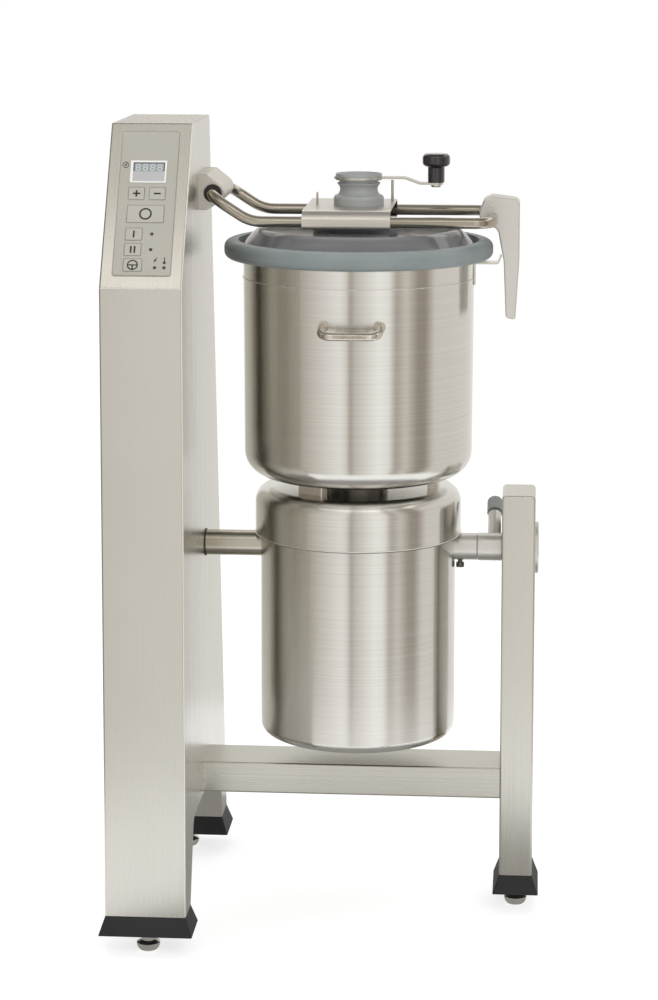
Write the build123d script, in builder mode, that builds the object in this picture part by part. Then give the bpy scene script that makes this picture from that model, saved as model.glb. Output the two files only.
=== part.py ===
"""Floor-standing tilting cutter mixer with a bowl of about 45 litres.

A sheet-steel column, a cross beam and a single leg make the frame. The motor
hangs between them on a horizontal pivot and carries the bowl, so that both tip
forward together. A lid on two bent tubes hinges on the column and is held down
by a latch lever. Millimetres, +Z up, the front of the machine faces -Y, and
the origin is on the floor at the middle of the footprint.
"""
import os
from math import cos, hypot, radians, sin

from build123d import *

os.makedirs("parts", exist_ok=True)

# Frame: places of the column and the leg from the mixer's own axis
axis_to_column = 270.0
axis_to_leg = 253.5
column_width = 137.0
leg_width = 58.0
leg_depth = 107.0
leg_top_z = 751.0
leg_edge = 4.0
leg_top_corner = 7.0
sheet = 2.0
tube_wall = 3.0
overall_height = 1400.0

# Column outline, seen from its side
frame_base_z = 70.0
column_front_y = -309.0
panel_fold_z = 1139.0
column_top_front_y = -152.0
column_top_rear_y = 86.0
column_rear_y = 309.0
arch_top_z = 205.0
front_leg_base_y = -240.0
front_leg_top_y = -190.0
rear_leg_base_y = 230.0
rear_leg_top_y = 204.0
arch_corner_radius = 22.0
fold_radius = 5.0
column_edge = 3.0

# Feet
foot_cap_height = 32.0
foot_flare = 11.0
foot_corner = 3.0
glide_radius = 20.0
glide_pad_height = 15.0
glide_contact_radius = 12.0
glide_cone_height = 4.0
glide_edge = 2.0
glide_bulge = 6.3
glide_neck_radius = 11.0
stud_radius = 6.0
stud_depth_in_cap = 16.0

# Cross beam
beam_height = 55.0
beam_bottom_z = 209.0

# Rear cover and its screws
cover_width = 118.0
cover_thickness = 1.5
cover_end_margin = 60.0
cover_rim = 18.0
cover_screw_radius = 5.0
cover_screw_head = 3.0
cover_screw_shank_radius = 2.0
cover_screw_rows = 4

# Cable gland on the rear cover
gland_radius = 13.0
gland_nut_length = 10.0
gland_dome_length = 14.0
gland_dome_step = 2.0
gland_dome_taper = 12.0
gland_seat_radius = 10.0
gland_bore_radius = 5.5
gland_from_bottom = 120.0

# Control panel on the sloping face
panel_width = 98.0
panel_length = 267.0
panel_bottom_margin = 22.0
panel_thickness = 1.5
panel_corner = 4.0
window_margin = 7.0
screen_width = 61.0
screen_height = 41.0
screen_centre_up = 212.5
screen_proud = 0.6
key_proud = 0.5
key_height_in_panel = 2.4
key_travel = 0.5
key_gap = 0.25
key_corner = 1.5
board_thickness = 1.6
lamp_radius = 2.0
lamp_proud = 0.4

# Key name: centre across, centre up the slope, width, height
keys = {
    "key_plus": (-17.5, 172.0, 26.0, 22.0),
    "key_minus": (17.5, 172.0, 26.0, 22.0),
    "key_stop": (0.0, 134.5, 61.0, 31.0),
    "key_speed_1": (-17.0, 97.5, 27.0, 21.5),
    "key_speed_2": (-17.0, 69.5, 27.0, 21.5),
    "key_pulse": (-15.5, 41.5, 30.0, 22.0),
}
lamp_places = [(13.0, 98.0), (13.0, 69.7), (21.5, 37.0), (37.0, 37.0)]

# Drive electronics inside the column
drive_box_depth = 90.0
drive_box_length = 190.0
drive_box_height = 280.0
drive_box_bottom_z = 720.0
drive_fin_count = 9
drive_fin_thickness = 3.0
drive_fin_depth = 14.0

# Tilting pivot
pivot_z = 649.0
pivot_tube_radius = 22.5
pivot_tube_wall = 4.0
pivot_tube_in_column = 58.0
pivot_bush_wall = 1.5
pivot_bush_proud = 2.0
pivot_bush_length = 46.0
running_fit = 0.05
face_gap = 0.3
axle_radius = 12.5
axle_depth_in_hub = 30.0
axle_chamfer = 1.0
small_hub_radius = 23.5
small_hub_length = 39.0
lock_hub_radius = 24.25
end_cap_radius = 45.0
end_cap_thickness = 6.0
hub_screw_radius = 4.0
hub_screw_head_radius = 7.0
hub_screw_head = 8.0
hub_screw_socket = 5.0
hub_screw_depth = 5.0
hub_screw_margin = 2.0

# Tilt lock lever
lock_lever_rise = 32.0
lock_arm_from_leg = 14.0
lock_arm_radius = 11.5
lock_arm_neck_radius = 8.0
lock_grip_start = 82.0
lock_grip_end = 120.0
lock_grip_radius = 13.8
lock_grip_tip = 8.0
lock_ring_thickness = 4.0
lock_neck_clearance = 4.0

# Motor
motor_radius = 171.0
motor_wall = 3.0
motor_bottom_z = 317.0
motor_edge_radius = 16.0
motor_shell_top_z = 744.0
cap_radius = 180.5
cap_wall = 3.0
cap_bottom_z = 674.0
cap_top_z = 758.0
cap_shoulder = 28.0
bottom_cover_radius = 152.0
bottom_cover_thickness = 8.0
bearing_boss_wall = 9.0
bearing_width = 23.0
bearing_radius = 40.0
bearing_lift = 8.0
bearing_relief = 6.0
shaft_radius = 20.0
shaft_clearance = 4.0
shaft_chamfer = 1.5
upper_plate_thickness = 22.0
upper_neck_radius = 52.0
upper_neck_top_gap = 3.0
stator_bottom_z = 450.0
stator_length = 140.0
stator_bore_radius = 86.0
winding_height = 34.0
winding_thickness = 48.0
winding_setback = 6.0
air_gap = 1.0
rotor_end_ring = 12.0
rotor_ring_width = 20.0

# Bowl
bowl_bottom_z = 779.0
bowl_rim_z = 1157.0
bowl_radius = 201.0
bowl_taper = 2.0
bowl_corner = 42.0
bowl_wall = 2.0
bowl_floor = 3.0
groove_z = 1112.0
groove_depth = 0.6
groove_width = 1.6
support_radius = 133.0
support_length = 50.0
support_width = 18.0
support_first_angle = -122.0
support_count = 3
seal_radius = 34.0
seal_height = 11.0
seal_flange = 7.0
seal_flange_height = 3.0
seal_edge = 3.0
support_corner = 2.0

# Bowl handles
handle_bar_radius = 7.0
handle_half_width = 48.0
handle_wall_z = 1063.0
handle_droop = 10.0
handle_reach = 43.0
handle_bend = 20.0
handle_pad_radius = 10.0
handle_pad_length = 5.0

# Latch catch on the bowl's side
catch_bar = 3.0
catch_seat_depth = 0.5
catch_width = 34.0
catch_tip_reach = 48.0
catch_bottom_z = 1150.0
catch_tip_z = 1165.0
catch_leg_down = 36.0
catch_tip_run = 5.0
catch_bend = 3.0

# Spindle and blades
shaft_bottom_z = 330.0
shaft_in_nut = 26.0
blade_hub_radius = 29.0
blade_hub_lift = 8.0
blade_hub_top = 9.0
blade_spacer_radius = 26.0
blade_thickness = 3.0
blade_bevel = 1.0
blade_to_wall = 13.0
blade_root_width = 46.0
blade_sweep = 70.0
blade_hub_margin = 4.0
blade_lead_inset = 41.0
blade_lead_share = 0.38
blade_trail_inset = 89.0
blade_trail_share = 0.59
first_blade_rise = 6.0
blade_pitch = 28.0
blade_turns = [0.0, 60.0, 120.0]
nut_radius = 24.0
nut_height = 26.0
nut_flats = 8
nut_skirt = 6.0
nut_cone = 8.0
nut_cone_taper = 30.0

# Lid arm: two bent tubes between the hinge block and the latch lever
arm_tube_radius = 9.5
arm_tube_wall = 1.5
arm_tube_y = 115.0
arm_z = 1231.0
hinge_to_axis = 246.0
hinge_z = 1275.0
arm_knee_to_axis = 178.0
latch_overhang = 31.0
hinge_bend = 36.0
knee_bend = 70.0
latch_bend = 30.0
hinge_block_half = 75.0
hinge_block_bottom_z = 1246.0
hinge_block_top_z = 1308.0
hinge_nose_radius = 19.5
hinge_block_corner = 4.0
hinge_block_flat = 14.0
hinge_bush_radius = 15.5
hinge_bush_flange = 3.0
hinge_bush_length = 22.0
hinge_bush_wall = 3.0
tube_end_gap = 4.0

# Bracket that holds the lid under the tubes
bracket_from_axis = -89.0
bracket_length = 150.0
bracket_top_z = 1251.0
bracket_sheet = 2.5
bracket_bend = 18.0
bracket_lip = 14.0
bracket_lip_bend = 4.0

# Lid
lid_gap = 2.4
ring_height = 31.5
ring_overhang = 32.4
ring_inset = 8.0
ring_seat_overhang = 13.0
ring_seat_height = 16.6
ring_lip = 6.0
ring_slope = 8.0
ring_edge = 12.0
dome_thickness = 4.0
dome_shoulder_inset = 27.0
dome_rise = 31.0
dome_wall_overhang = 2.0
dome_foot_bend = 4.0
dome_bend = 14.0
dome_hole_radius = 52.0
lid_bore_radius = 33.5
pad_radius = 78.0

# Feed funnel and the wiper turned by hand through it
funnel_foot_radius = 43.5
funnel_foot_height = 17.0
funnel_foot_edge = 6.0
funnel_neck_radius = 33.0
funnel_neck_rise = 7.0
funnel_lip_radius = 37.0
funnel_lip_edge = 2.0
funnel_top_z = 1289.0
tube_clearance = 0.4
wiper_tube_radius = 30.0
wiper_tube_wall = 3.5
wiper_tube_bottom_z = 1166.0
crank_ring_radius = 43.0
crank_ring_z = 1296.0
crank_sheet = 3.5
wiper_rim_top_z = 1305.0
wiper_flare_z = 1287.0
wiper_rim_radius = 40.0
wiper_rim_wall = 2.5
wiper_seat_radius = 34.0
wiper_groove = 5.5
wiper_ring_edge = 2.0
crank_width = 25.0
crank_drop = 9.5
crank_bend_start = 80.0
crank_bend_end = 106.0
crank_fold = 22.0
crank_reach = 134.0
knob_radius = 24.0
knob_neck_radius = 14.5
knob_height = 50.0
knob_head_height = 23.5
knob_head_slope = 3.0
knob_edge = 8.5
knob_under_edge = 7.0
knob_neck_edge = 3.0
knob_foot_edge = 1.0
knob_screw_radius = 5.0
knob_screw_head = 9.0
knob_screw_head_height = 4.5
knob_screw_edge = 2.0
knob_screw_depth = 35.0
wiper_arm_height = 16.0
wiper_arm_thickness = 5.0
wiper_arm_hub_wall = 6.0
wiper_arm_inset = 2.0
wiper_blade_height = 8.0
wiper_blade_inset = 4.0
wiper_blade_thickness = 3.0
wiper_blade_gap = 0.6

# Latch lever
latch_half_width = 30.0
latch_edge = 3.0
latch_head_top = 38.5
latch_head_inner = 23.0
latch_outer = 47.0
latch_inner = 20.0
latch_waist_drop = 74.0
latch_drop = 176.0
latch_tip_inner = 24.0
latch_tip_outer = 41.0
latch_pin_rise = 23.0
latch_pin_radius = 3.2
latch_pin_proud = 1.2

# Pins on the bracket
loop_pin_radius = 1.6
loop_pin_height = 20.0
stop_pin_radius = 2.5
stop_pin_height = 37.0
stop_pin_margin = 6.0
stop_pin_y = 70.0
loop_from_axis = -72.0
loop_half_width = 4.0

# Places worked out from the sizes above
mixer_x = (axis_to_column + column_width - axis_to_leg - leg_width) / 2
column_face_x = mixer_x - axis_to_column
column_mid_x = column_face_x - column_width / 2
column_left_x = column_face_x - column_width
leg_inner_x = mixer_x + axis_to_leg
leg_mid_x = leg_inner_x + leg_width / 2
leg_outer_x = leg_inner_x + leg_width
hinge_x = mixer_x - hinge_to_axis
latch_x = mixer_x + bowl_radius + latch_overhang
bowl_base_radius = bowl_radius - bowl_taper
blade_reach = bowl_radius - bowl_wall - blade_to_wall
blade_hub_bottom_z = bowl_bottom_z + bowl_floor + seal_height + blade_hub_lift
first_blade_z = blade_hub_bottom_z + first_blade_rise
blade_levels = [first_blade_z + step * blade_pitch for step in range(len(blade_turns))]
hub_top_z = blade_levels[-1] + blade_thickness + blade_hub_top
lid_bottom_z = bowl_rim_z + lid_gap
ring_top_z = lid_bottom_z + ring_height
ring_radius = bowl_radius + ring_overhang
ring_seat_radius = bowl_radius + ring_seat_overhang
ring_seat_z = lid_bottom_z + ring_seat_height
dome_wall_radius = bowl_radius + dome_wall_overhang
dome_shoulder_radius = bowl_radius - dome_shoulder_inset
dome_shoulder_z = ring_seat_z + dome_rise

mixer_axis = Axis((mixer_x, 0, 0), (0, 0, 1))
mixer_section = Plane(origin=(mixer_x, 0, 0), x_dir=(1, 0, 0), z_dir=(0, -1, 0))

# The sloping control face: x across, y up the slope from the fold, z outward
slope_rise = overall_height - panel_fold_z
slope_run = column_top_front_y - column_front_y
slope_length = hypot(slope_rise, slope_run)
panel_plane = Plane(
    origin=(column_mid_x, column_front_y, panel_fold_z),
    x_dir=(1, 0, 0),
    z_dir=(0, -slope_rise, slope_run),
)

# The rear face: x to the left, y up the slope from the foot, z outward
rear_rise = overall_height - frame_base_z
rear_run = column_rear_y - column_top_rear_y
rear_length = hypot(rear_rise, rear_run)
rear_plane = Plane(
    origin=(column_mid_x, column_rear_y, frame_base_z),
    x_dir=(-1, 0, 0),
    z_dir=(0, rear_rise, rear_run),
)


def keep(piece, name):
    """Label a finished piece and write it under its own name."""
    piece.part.label = name
    export_step(piece.part, f"parts/{name}.step")


# Column shell: one folded and welded sheet body, hollow, open behind its rear cover
column_outline = [
    (column_front_y, frame_base_z),
    (column_front_y, panel_fold_z),
    (column_top_front_y, overall_height),
    (column_top_rear_y, overall_height),
    (column_rear_y, frame_base_z),
    (rear_leg_base_y, frame_base_z),
    (rear_leg_top_y, arch_top_z),
    (front_leg_top_y, arch_top_z),
    (front_leg_base_y, frame_base_z),
]
pivot_hole_radius = pivot_tube_radius + running_fit + pivot_bush_wall
opening_width = cover_width - 2 * cover_rim
opening_bottom = cover_end_margin + cover_rim
opening_top = rear_length - cover_end_margin - cover_rim
with BuildPart() as column_shell:
    with BuildSketch(Plane.YZ.offset(column_left_x)) as column_side:
        with BuildLine():
            Polyline(*column_outline, close=True)
        make_face()
        arch_corners = column_side.vertices().filter_by_position(Axis.Y, arch_top_z - 1, arch_top_z + 1)
        fillet(arch_corners, arch_corner_radius)
        upper_corners = column_side.vertices().filter_by_position(Axis.Y, panel_fold_z - 1, overall_height + 1)
        fillet(upper_corners, fold_radius)
    extrude(amount=column_width)
    side_edges = column_shell.faces().filter_by(Axis.X).edges()
    fillet(side_edges.filter_by_position(Axis.Z, frame_base_z + column_edge, overall_height), column_edge)
    with BuildSketch(Plane.YZ.offset(column_left_x + sheet)) as column_hollow:
        add(column_side.sketch_local)
        offset(amount=-sheet)
    extrude(amount=column_width - 2 * sheet, mode=Mode.SUBTRACT)
    with BuildSketch(panel_plane) as panel_window:
        with Locations((0, panel_bottom_margin + panel_length / 2)):
            Rectangle(panel_width - 2 * window_margin, panel_length - 2 * window_margin)
    extrude(amount=-2 * sheet, mode=Mode.SUBTRACT)
    with BuildSketch(rear_plane) as rear_opening:
        with Locations((0, (opening_bottom + opening_top) / 2)):
            RectangleRounded(opening_width, opening_top - opening_bottom, fold_radius)
    extrude(amount=-2 * sheet, mode=Mode.SUBTRACT)
    with BuildSketch(Plane.YZ.offset(column_face_x)) as pivot_opening:
        with Locations((0, pivot_z)):
            Circle(pivot_hole_radius)
    extrude(amount=-2 * sheet, mode=Mode.SUBTRACT)
keep(column_shell, "column_shell")

# Rear cover: a flat sheet screwed on from behind, with the hole of the cable gland
cover_length = rear_length - 2 * cover_end_margin
cover_mid = rear_length / 2
with BuildPart() as column_rear_cover:
    with BuildSketch(rear_plane) as cover_outline:
        with Locations((0, cover_mid)):
            RectangleRounded(cover_width, cover_length, fold_radius)
        with Locations((0, cover_end_margin + gland_from_bottom)):
            Circle(gland_seat_radius, mode=Mode.SUBTRACT)
    extrude(amount=cover_thickness)
keep(column_rear_cover, "column_rear_cover")

screw_x = cover_width / 2 - cover_rim / 2
screw_pitch = (cover_length - cover_rim) / (cover_screw_rows - 1)
with BuildPart() as rear_cover_screws:
    with BuildSketch(rear_plane.offset(cover_thickness)) as screw_heads:
        with Locations((0, cover_mid)):
            with GridLocations(2 * screw_x, screw_pitch, 2, cover_screw_rows):
                Circle(cover_screw_radius)
    extrude(amount=cover_screw_head)
    fillet(rear_cover_screws.faces().group_by(Axis.Y)[-1].edges(), cover_screw_head / 3)
keep(rear_cover_screws, "rear_cover_screws")

# Cable gland: hexagon body, domed nut and a bore for a lead
gland_plane = Plane(
    origin=rear_plane.from_local_coords((0, cover_end_margin + gland_from_bottom, cover_thickness)),
    x_dir=(-1, 0, 0),
    z_dir=rear_plane.z_dir,
)
with BuildPart() as cable_gland:
    with BuildSketch(gland_plane):
        RegularPolygon(gland_radius, 6)
    extrude(amount=gland_nut_length)
    with BuildSketch(gland_plane.offset(gland_nut_length)):
        Circle(gland_radius - gland_dome_step)
    extrude(amount=gland_dome_length, taper=gland_dome_taper)
    with BuildSketch(gland_plane.offset(-cover_thickness - 2 * sheet)):
        Circle(gland_seat_radius)
    extrude(amount=cover_thickness + 2 * sheet)
    with BuildSketch(gland_plane.offset(-cover_thickness - 2 * sheet)):
        Circle(gland_bore_radius)
    extrude(amount=cover_thickness + 2 * sheet + gland_nut_length + gland_dome_length, mode=Mode.SUBTRACT)
keep(cable_gland, "cable_gland")

# Control panel: a thin plate on the sloping face with openings for keys, screen and lamps
panel_mid = panel_bottom_margin + panel_length / 2
with BuildPart() as control_panel:
    with BuildSketch(panel_plane) as panel_outline:
        with Locations((0, panel_mid)):
            RectangleRounded(panel_width, panel_length, panel_corner)
        with Locations((0, screen_centre_up)):
            Rectangle(screen_width, screen_height, mode=Mode.SUBTRACT)
        for across, up, width, height in keys.values():
            with Locations((across, up)):
                RectangleRounded(width, height, key_corner, mode=Mode.SUBTRACT)
        with Locations(*lamp_places):
            Circle(lamp_radius, mode=Mode.SUBTRACT)
    extrude(amount=panel_thickness)
keep(control_panel, "control_panel")

# Each key is a stiff cap that dips by its travel towards the board behind it
key_bottom = panel_thickness + key_proud - key_height_in_panel
for key_name, (across, up, width, height) in keys.items():
    with BuildPart() as key_cap:
        with BuildSketch(panel_plane.offset(key_bottom)):
            with Locations((across, up)):
                RectangleRounded(width - 2 * key_gap, height - 2 * key_gap, key_corner)
        extrude(amount=key_height_in_panel)
    keep(key_cap, key_name)

# Display module: the board behind the panel and the glass that fills the screen opening
board_top = key_bottom - key_travel - face_gap
board_width = panel_width - 2 * window_margin - 2 * face_gap
board_length = panel_length - 2 * window_margin - 2 * face_gap
with BuildPart() as display_module:
    with BuildSketch(panel_plane.offset(board_top - board_thickness)):
        with Locations((0, panel_mid)):
            Rectangle(board_width, board_length)
    extrude(amount=board_thickness)
    with BuildSketch(panel_plane.offset(board_top)):
        with Locations((0, screen_centre_up)):
            Rectangle(screen_width - key_gap, screen_height - key_gap)
    extrude(amount=panel_thickness + screen_proud - board_top)
keep(display_module, "display_module")

with BuildPart() as indicator_lamps:
    with BuildSketch(panel_plane.offset(board_top)):
        with Locations(*lamp_places):
            Circle(lamp_radius - running_fit)
    extrude(amount=panel_thickness + lamp_proud - board_top)
keep(indicator_lamps, "indicator_lamps")

# Drive electronics: a finned case bolted to the column's inner left wall
drive_left_x = column_left_x + sheet
fin_pitch = drive_box_length / drive_fin_count
with BuildPart() as drive_electronics:
    with BuildSketch(Plane.YZ.offset(drive_left_x)):
        with Locations((-drive_box_length / 2, drive_box_bottom_z + drive_box_height / 2)):
            RectangleRounded(drive_box_length, drive_box_height, 2 * fold_radius)
    extrude(amount=drive_box_depth)
    with BuildSketch(Plane.YZ.offset(drive_left_x + drive_box_depth)):
        with Locations((-drive_box_length / 2, drive_box_bottom_z + drive_box_height / 2)):
            with GridLocations(fin_pitch, 1, drive_fin_count, 1):
                Rectangle(drive_fin_thickness, drive_box_height - 4 * fold_radius)
    extrude(amount=drive_fin_depth)
keep(drive_electronics, "drive_electronics")

# Cross beam: a rectangular tube between the column and the leg
with BuildPart() as cross_beam:
    with BuildSketch(Plane.YZ.offset(column_face_x)):
        with Locations((0, beam_bottom_z + beam_height / 2)):
            RectangleRounded(leg_depth, beam_height, tube_wall)
            Rectangle(leg_depth - 2 * tube_wall, beam_height - 2 * tube_wall, mode=Mode.SUBTRACT)
    extrude(amount=leg_inner_x - column_face_x)
keep(cross_beam, "cross_beam")

# Right leg: an upright rectangular tube with a welded top, bored for the pivot axle
with BuildPart() as right_leg:
    with BuildSketch(Plane.XZ) as leg_front:
        with Locations((leg_mid_x, (frame_base_z + leg_top_z) / 2)):
            Rectangle(leg_width, leg_top_z - frame_base_z)
        fillet(leg_front.vertices().group_by(Axis.Y)[-1], leg_top_corner)
    extrude(amount=leg_depth / 2, both=True)
    outline_edges = right_leg.faces().filter_by(Axis.Y).edges()
    fillet(outline_edges.filter_by_position(Axis.Z, frame_base_z + leg_edge, leg_top_z), leg_edge)
    with BuildSketch(Plane.XY.offset(frame_base_z)):
        with Locations((leg_mid_x, 0)):
            Rectangle(leg_width - 2 * tube_wall, leg_depth - 2 * tube_wall)
    extrude(amount=leg_top_z - frame_base_z - tube_wall, mode=Mode.SUBTRACT)
    with BuildSketch(Plane.YZ.offset(leg_inner_x)):
        with Locations((0, pivot_z)):
            Circle(axle_radius)
    extrude(amount=leg_width, mode=Mode.SUBTRACT)
keep(right_leg, "right_leg")

# Foot caps: flared blocks under the two column legs and the right leg
foot_tops = [
    (column_mid_x, (column_front_y + front_leg_base_y) / 2, column_width, front_leg_base_y - column_front_y),
    (column_mid_x, (column_rear_y + rear_leg_base_y) / 2, column_width, column_rear_y - rear_leg_base_y),
    (leg_mid_x, 0.0, leg_width, leg_depth),
]
foot_cap_bottom_z = frame_base_z - foot_cap_height
with BuildPart() as foot_caps:
    for cap_x, cap_y, cap_width, cap_depth in foot_tops:
        with BuildSketch(Plane.XY.offset(foot_cap_bottom_z)):
            with Locations((cap_x, cap_y)):
                RectangleRounded(cap_width + 2 * foot_flare, cap_depth + 2 * foot_flare, foot_corner)
        with BuildSketch(Plane.XY.offset(frame_base_z)):
            with Locations((cap_x, cap_y)):
                RectangleRounded(cap_width, cap_depth, foot_corner)
        loft()
        with BuildSketch(Plane.XY.offset(foot_cap_bottom_z)):
            with Locations((cap_x, cap_y)):
                Circle(stud_radius)
        extrude(amount=stud_depth_in_cap, mode=Mode.SUBTRACT)
keep(foot_caps, "foot_caps")

# Levelling glides: a domed pad on a threaded stud, screwed up into each foot cap
with BuildPart() as levelling_glides:
    for glide_x, glide_y, _, _ in foot_tops:
        glide_section = Plane(origin=(glide_x, glide_y, 0), x_dir=(1, 0, 0), z_dir=(0, -1, 0))
        with BuildSketch(glide_section):
            with BuildLine():
                Line((0, 0), (glide_contact_radius, 0))
                ThreePointArc(
                    (glide_contact_radius, 0),
                    (glide_radius - glide_edge, glide_bulge),
                    (glide_radius, glide_pad_height),
                )
                Polyline(
                    (glide_radius, glide_pad_height),
                    (glide_neck_radius, glide_pad_height + glide_cone_height),
                    (glide_neck_radius, foot_cap_bottom_z),
                    (stud_radius, foot_cap_bottom_z),
                    (stud_radius, foot_cap_bottom_z + stud_depth_in_cap),
                    (0, foot_cap_bottom_z + stud_depth_in_cap),
                    (0, 0),
                )
            make_face()
        revolve(axis=Axis((glide_x, glide_y, 0), (0, 0, 1)))
keep(levelling_glides, "levelling_glides")

# Pivot bush: a sleeve let into the column's right wall, with its end a little proud
with BuildPart() as pivot_bush_left:
    with BuildSketch(Plane.YZ.offset(column_face_x - pivot_bush_length)):
        with Locations((0, pivot_z)):
            Circle(pivot_hole_radius)
            Circle(pivot_tube_radius + running_fit, mode=Mode.SUBTRACT)
    extrude(amount=pivot_bush_length + pivot_bush_proud)
keep(pivot_bush_left, "pivot_bush_left")

# Pivot axle: a headed axle through the leg, with the motor's right hub and the lock lever on it
hub_outer_x = mixer_x + motor_radius + small_hub_length
axle_start_x = hub_outer_x - axle_depth_in_hub
with BuildPart() as pivot_axle:
    with BuildSketch(Plane.YZ.offset(leg_outer_x)):
        with Locations((0, pivot_z)):
            Circle(end_cap_radius)
    extrude(amount=end_cap_thickness)
    fillet(pivot_axle.faces().sort_by(Axis.X)[-1].edges(), end_cap_thickness / 3)
    with BuildSketch(Plane.YZ.offset(axle_start_x)):
        with Locations((0, pivot_z)):
            Circle(axle_radius)
    extrude(amount=leg_outer_x - axle_start_x)
    chamfer(pivot_axle.faces().sort_by(Axis.X)[0].edges(), axle_chamfer)
keep(pivot_axle, "pivot_axle")

# Lock lever: a clamping collar on the axle, with an arm that rises towards the rear
lock_hub_start = hub_outer_x + face_gap
lock_hub_length = leg_inner_x - face_gap - lock_hub_start
lock_x = leg_inner_x - lock_arm_from_leg
lock_neck_length = lock_grip_end - lock_grip_start - lock_grip_radius
arm_direction = (0, cos(radians(lock_lever_rise)), sin(radians(lock_lever_rise)))
arm_plane = Plane(origin=(lock_x, 0, pivot_z), x_dir=(1, 0, 0), z_dir=arm_direction)
with BuildPart() as lock_lever:
    with BuildSketch(Plane.YZ.offset(lock_hub_start)):
        with Locations((0, pivot_z)):
            Circle(lock_hub_radius)
    extrude(amount=lock_hub_length)
    chamfer(lock_lever.edges().filter_by(GeomType.CIRCLE), axle_chamfer)
    with BuildSketch(arm_plane.offset(axle_radius)):
        Circle(lock_arm_radius)
    extrude(amount=lock_grip_start - axle_radius)
    with BuildSketch(arm_plane.offset(lock_grip_start)):
        Circle(lock_arm_neck_radius)
    extrude(amount=lock_neck_length)
    with BuildSketch(Plane.YZ.offset(lock_hub_start)):
        with Locations((0, pivot_z)):
            Circle(axle_radius + running_fit)
    extrude(amount=lock_hub_length, mode=Mode.SUBTRACT)
keep(lock_lever, "lock_lever")

grip_body_start = lock_grip_start + lock_ring_thickness
with BuildPart() as lock_grip:
    with BuildSketch(arm_plane.offset(grip_body_start)):
        Circle(lock_grip_radius)
    extrude(amount=lock_grip_end - grip_body_start)
    grip_tip = lock_grip.faces().sort_by(Axis((lock_x, 0, pivot_z), arm_direction))[-1]
    fillet(grip_tip.edges(), lock_grip_tip)
    with BuildSketch(arm_plane.offset(grip_body_start)):
        Circle(lock_arm_neck_radius)
    extrude(amount=lock_neck_length, mode=Mode.SUBTRACT)
keep(lock_grip, "lock_grip")

# Motor shell: a drawn steel tube whose lower edge curls inward round the bottom cover
shell_inner = motor_radius - motor_wall
with BuildPart() as motor_housing:
    with BuildSketch(mixer_section):
        with BuildLine():
            Line((bottom_cover_radius, motor_bottom_z), (motor_radius - motor_edge_radius, motor_bottom_z))
            RadiusArc(
                (motor_radius - motor_edge_radius, motor_bottom_z),
                (motor_radius, motor_bottom_z + motor_edge_radius),
                -motor_edge_radius,
            )
            Polyline(
                (motor_radius, motor_bottom_z + motor_edge_radius),
                (motor_radius, motor_shell_top_z),
                (shell_inner, motor_shell_top_z),
                (shell_inner, motor_bottom_z + motor_edge_radius),
            )
            RadiusArc(
                (shell_inner, motor_bottom_z + motor_edge_radius),
                (motor_radius - motor_edge_radius, motor_bottom_z + motor_wall),
                motor_edge_radius - motor_wall,
            )
            Polyline(
                (motor_radius - motor_edge_radius, motor_bottom_z + motor_wall),
                (bottom_cover_radius, motor_bottom_z + motor_wall),
                (bottom_cover_radius, motor_bottom_z),
            )
        make_face()
    revolve(axis=mixer_axis)
    with BuildSketch(Plane.YZ.offset(mixer_x - motor_radius - motor_wall)):
        with Locations((0, pivot_z)):
            Circle(pivot_tube_radius - pivot_tube_wall)
    extrude(amount=motor_radius, mode=Mode.SUBTRACT)
keep(motor_housing, "motor_housing")

# Bottom cover: a turned plate with the lower bearing seat
lower_bearing_z = motor_bottom_z + bottom_cover_thickness + bearing_lift
boss_radius = bearing_radius + bearing_boss_wall
with BuildPart() as motor_bottom_cover:
    with BuildSketch(Plane.XY.offset(motor_bottom_z)):
        with Locations((mixer_x, 0)):
            Circle(bottom_cover_radius - face_gap)
    extrude(amount=bottom_cover_thickness)
    with BuildSketch(Plane.XY.offset(motor_bottom_z + bottom_cover_thickness)):
        with Locations((mixer_x, 0)):
            Circle(boss_radius)
    extrude(amount=lower_bearing_z + bearing_width - motor_bottom_z - bottom_cover_thickness)
    with BuildSketch(Plane.XY.offset(lower_bearing_z)):
        with Locations((mixer_x, 0)):
            Circle(bearing_radius)
    extrude(amount=bearing_width, mode=Mode.SUBTRACT)
    with BuildSketch(Plane.XY.offset(lower_bearing_z - bearing_relief)):
        with Locations((mixer_x, 0)):
            Circle(shaft_radius + shaft_clearance)
    extrude(amount=bearing_relief, mode=Mode.SUBTRACT)
keep(motor_bottom_cover, "motor_bottom_cover")

# Upper plate: carries the upper bearing and the neck that enters the bowl's foot
upper_plate_z = cap_top_z - cap_wall - upper_plate_thickness
neck_top_z = bowl_bottom_z - upper_neck_top_gap
upper_bearing_z = upper_plate_z
with BuildPart() as motor_upper_plate:
    with BuildSketch(Plane.XY.offset(upper_plate_z)):
        with Locations((mixer_x, 0)):
            Circle(shell_inner - face_gap)
    extrude(amount=motor_shell_top_z - upper_plate_z)
    with BuildSketch(Plane.XY.offset(motor_shell_top_z)):
        with Locations((mixer_x, 0)):
            Circle(cap_radius - cap_shoulder - cap_wall)
    extrude(amount=cap_top_z - cap_wall - motor_shell_top_z)
    with BuildSketch(Plane.XY.offset(cap_top_z - cap_wall)):
        with Locations((mixer_x, 0)):
            Circle(upper_neck_radius)
    extrude(amount=neck_top_z - cap_top_z + cap_wall)
    with BuildSketch(Plane.XY.offset(upper_bearing_z)):
        with Locations((mixer_x, 0)):
            Circle(bearing_radius)
    extrude(amount=bearing_width, mode=Mode.SUBTRACT)
    with BuildSketch(Plane.XY.offset(upper_bearing_z + bearing_width)):
        with Locations((mixer_x, 0)):
            Circle(shaft_radius + shaft_clearance)
    extrude(amount=neck_top_z - upper_bearing_z - bearing_width, mode=Mode.SUBTRACT)
keep(motor_upper_plate, "motor_upper_plate")

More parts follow.
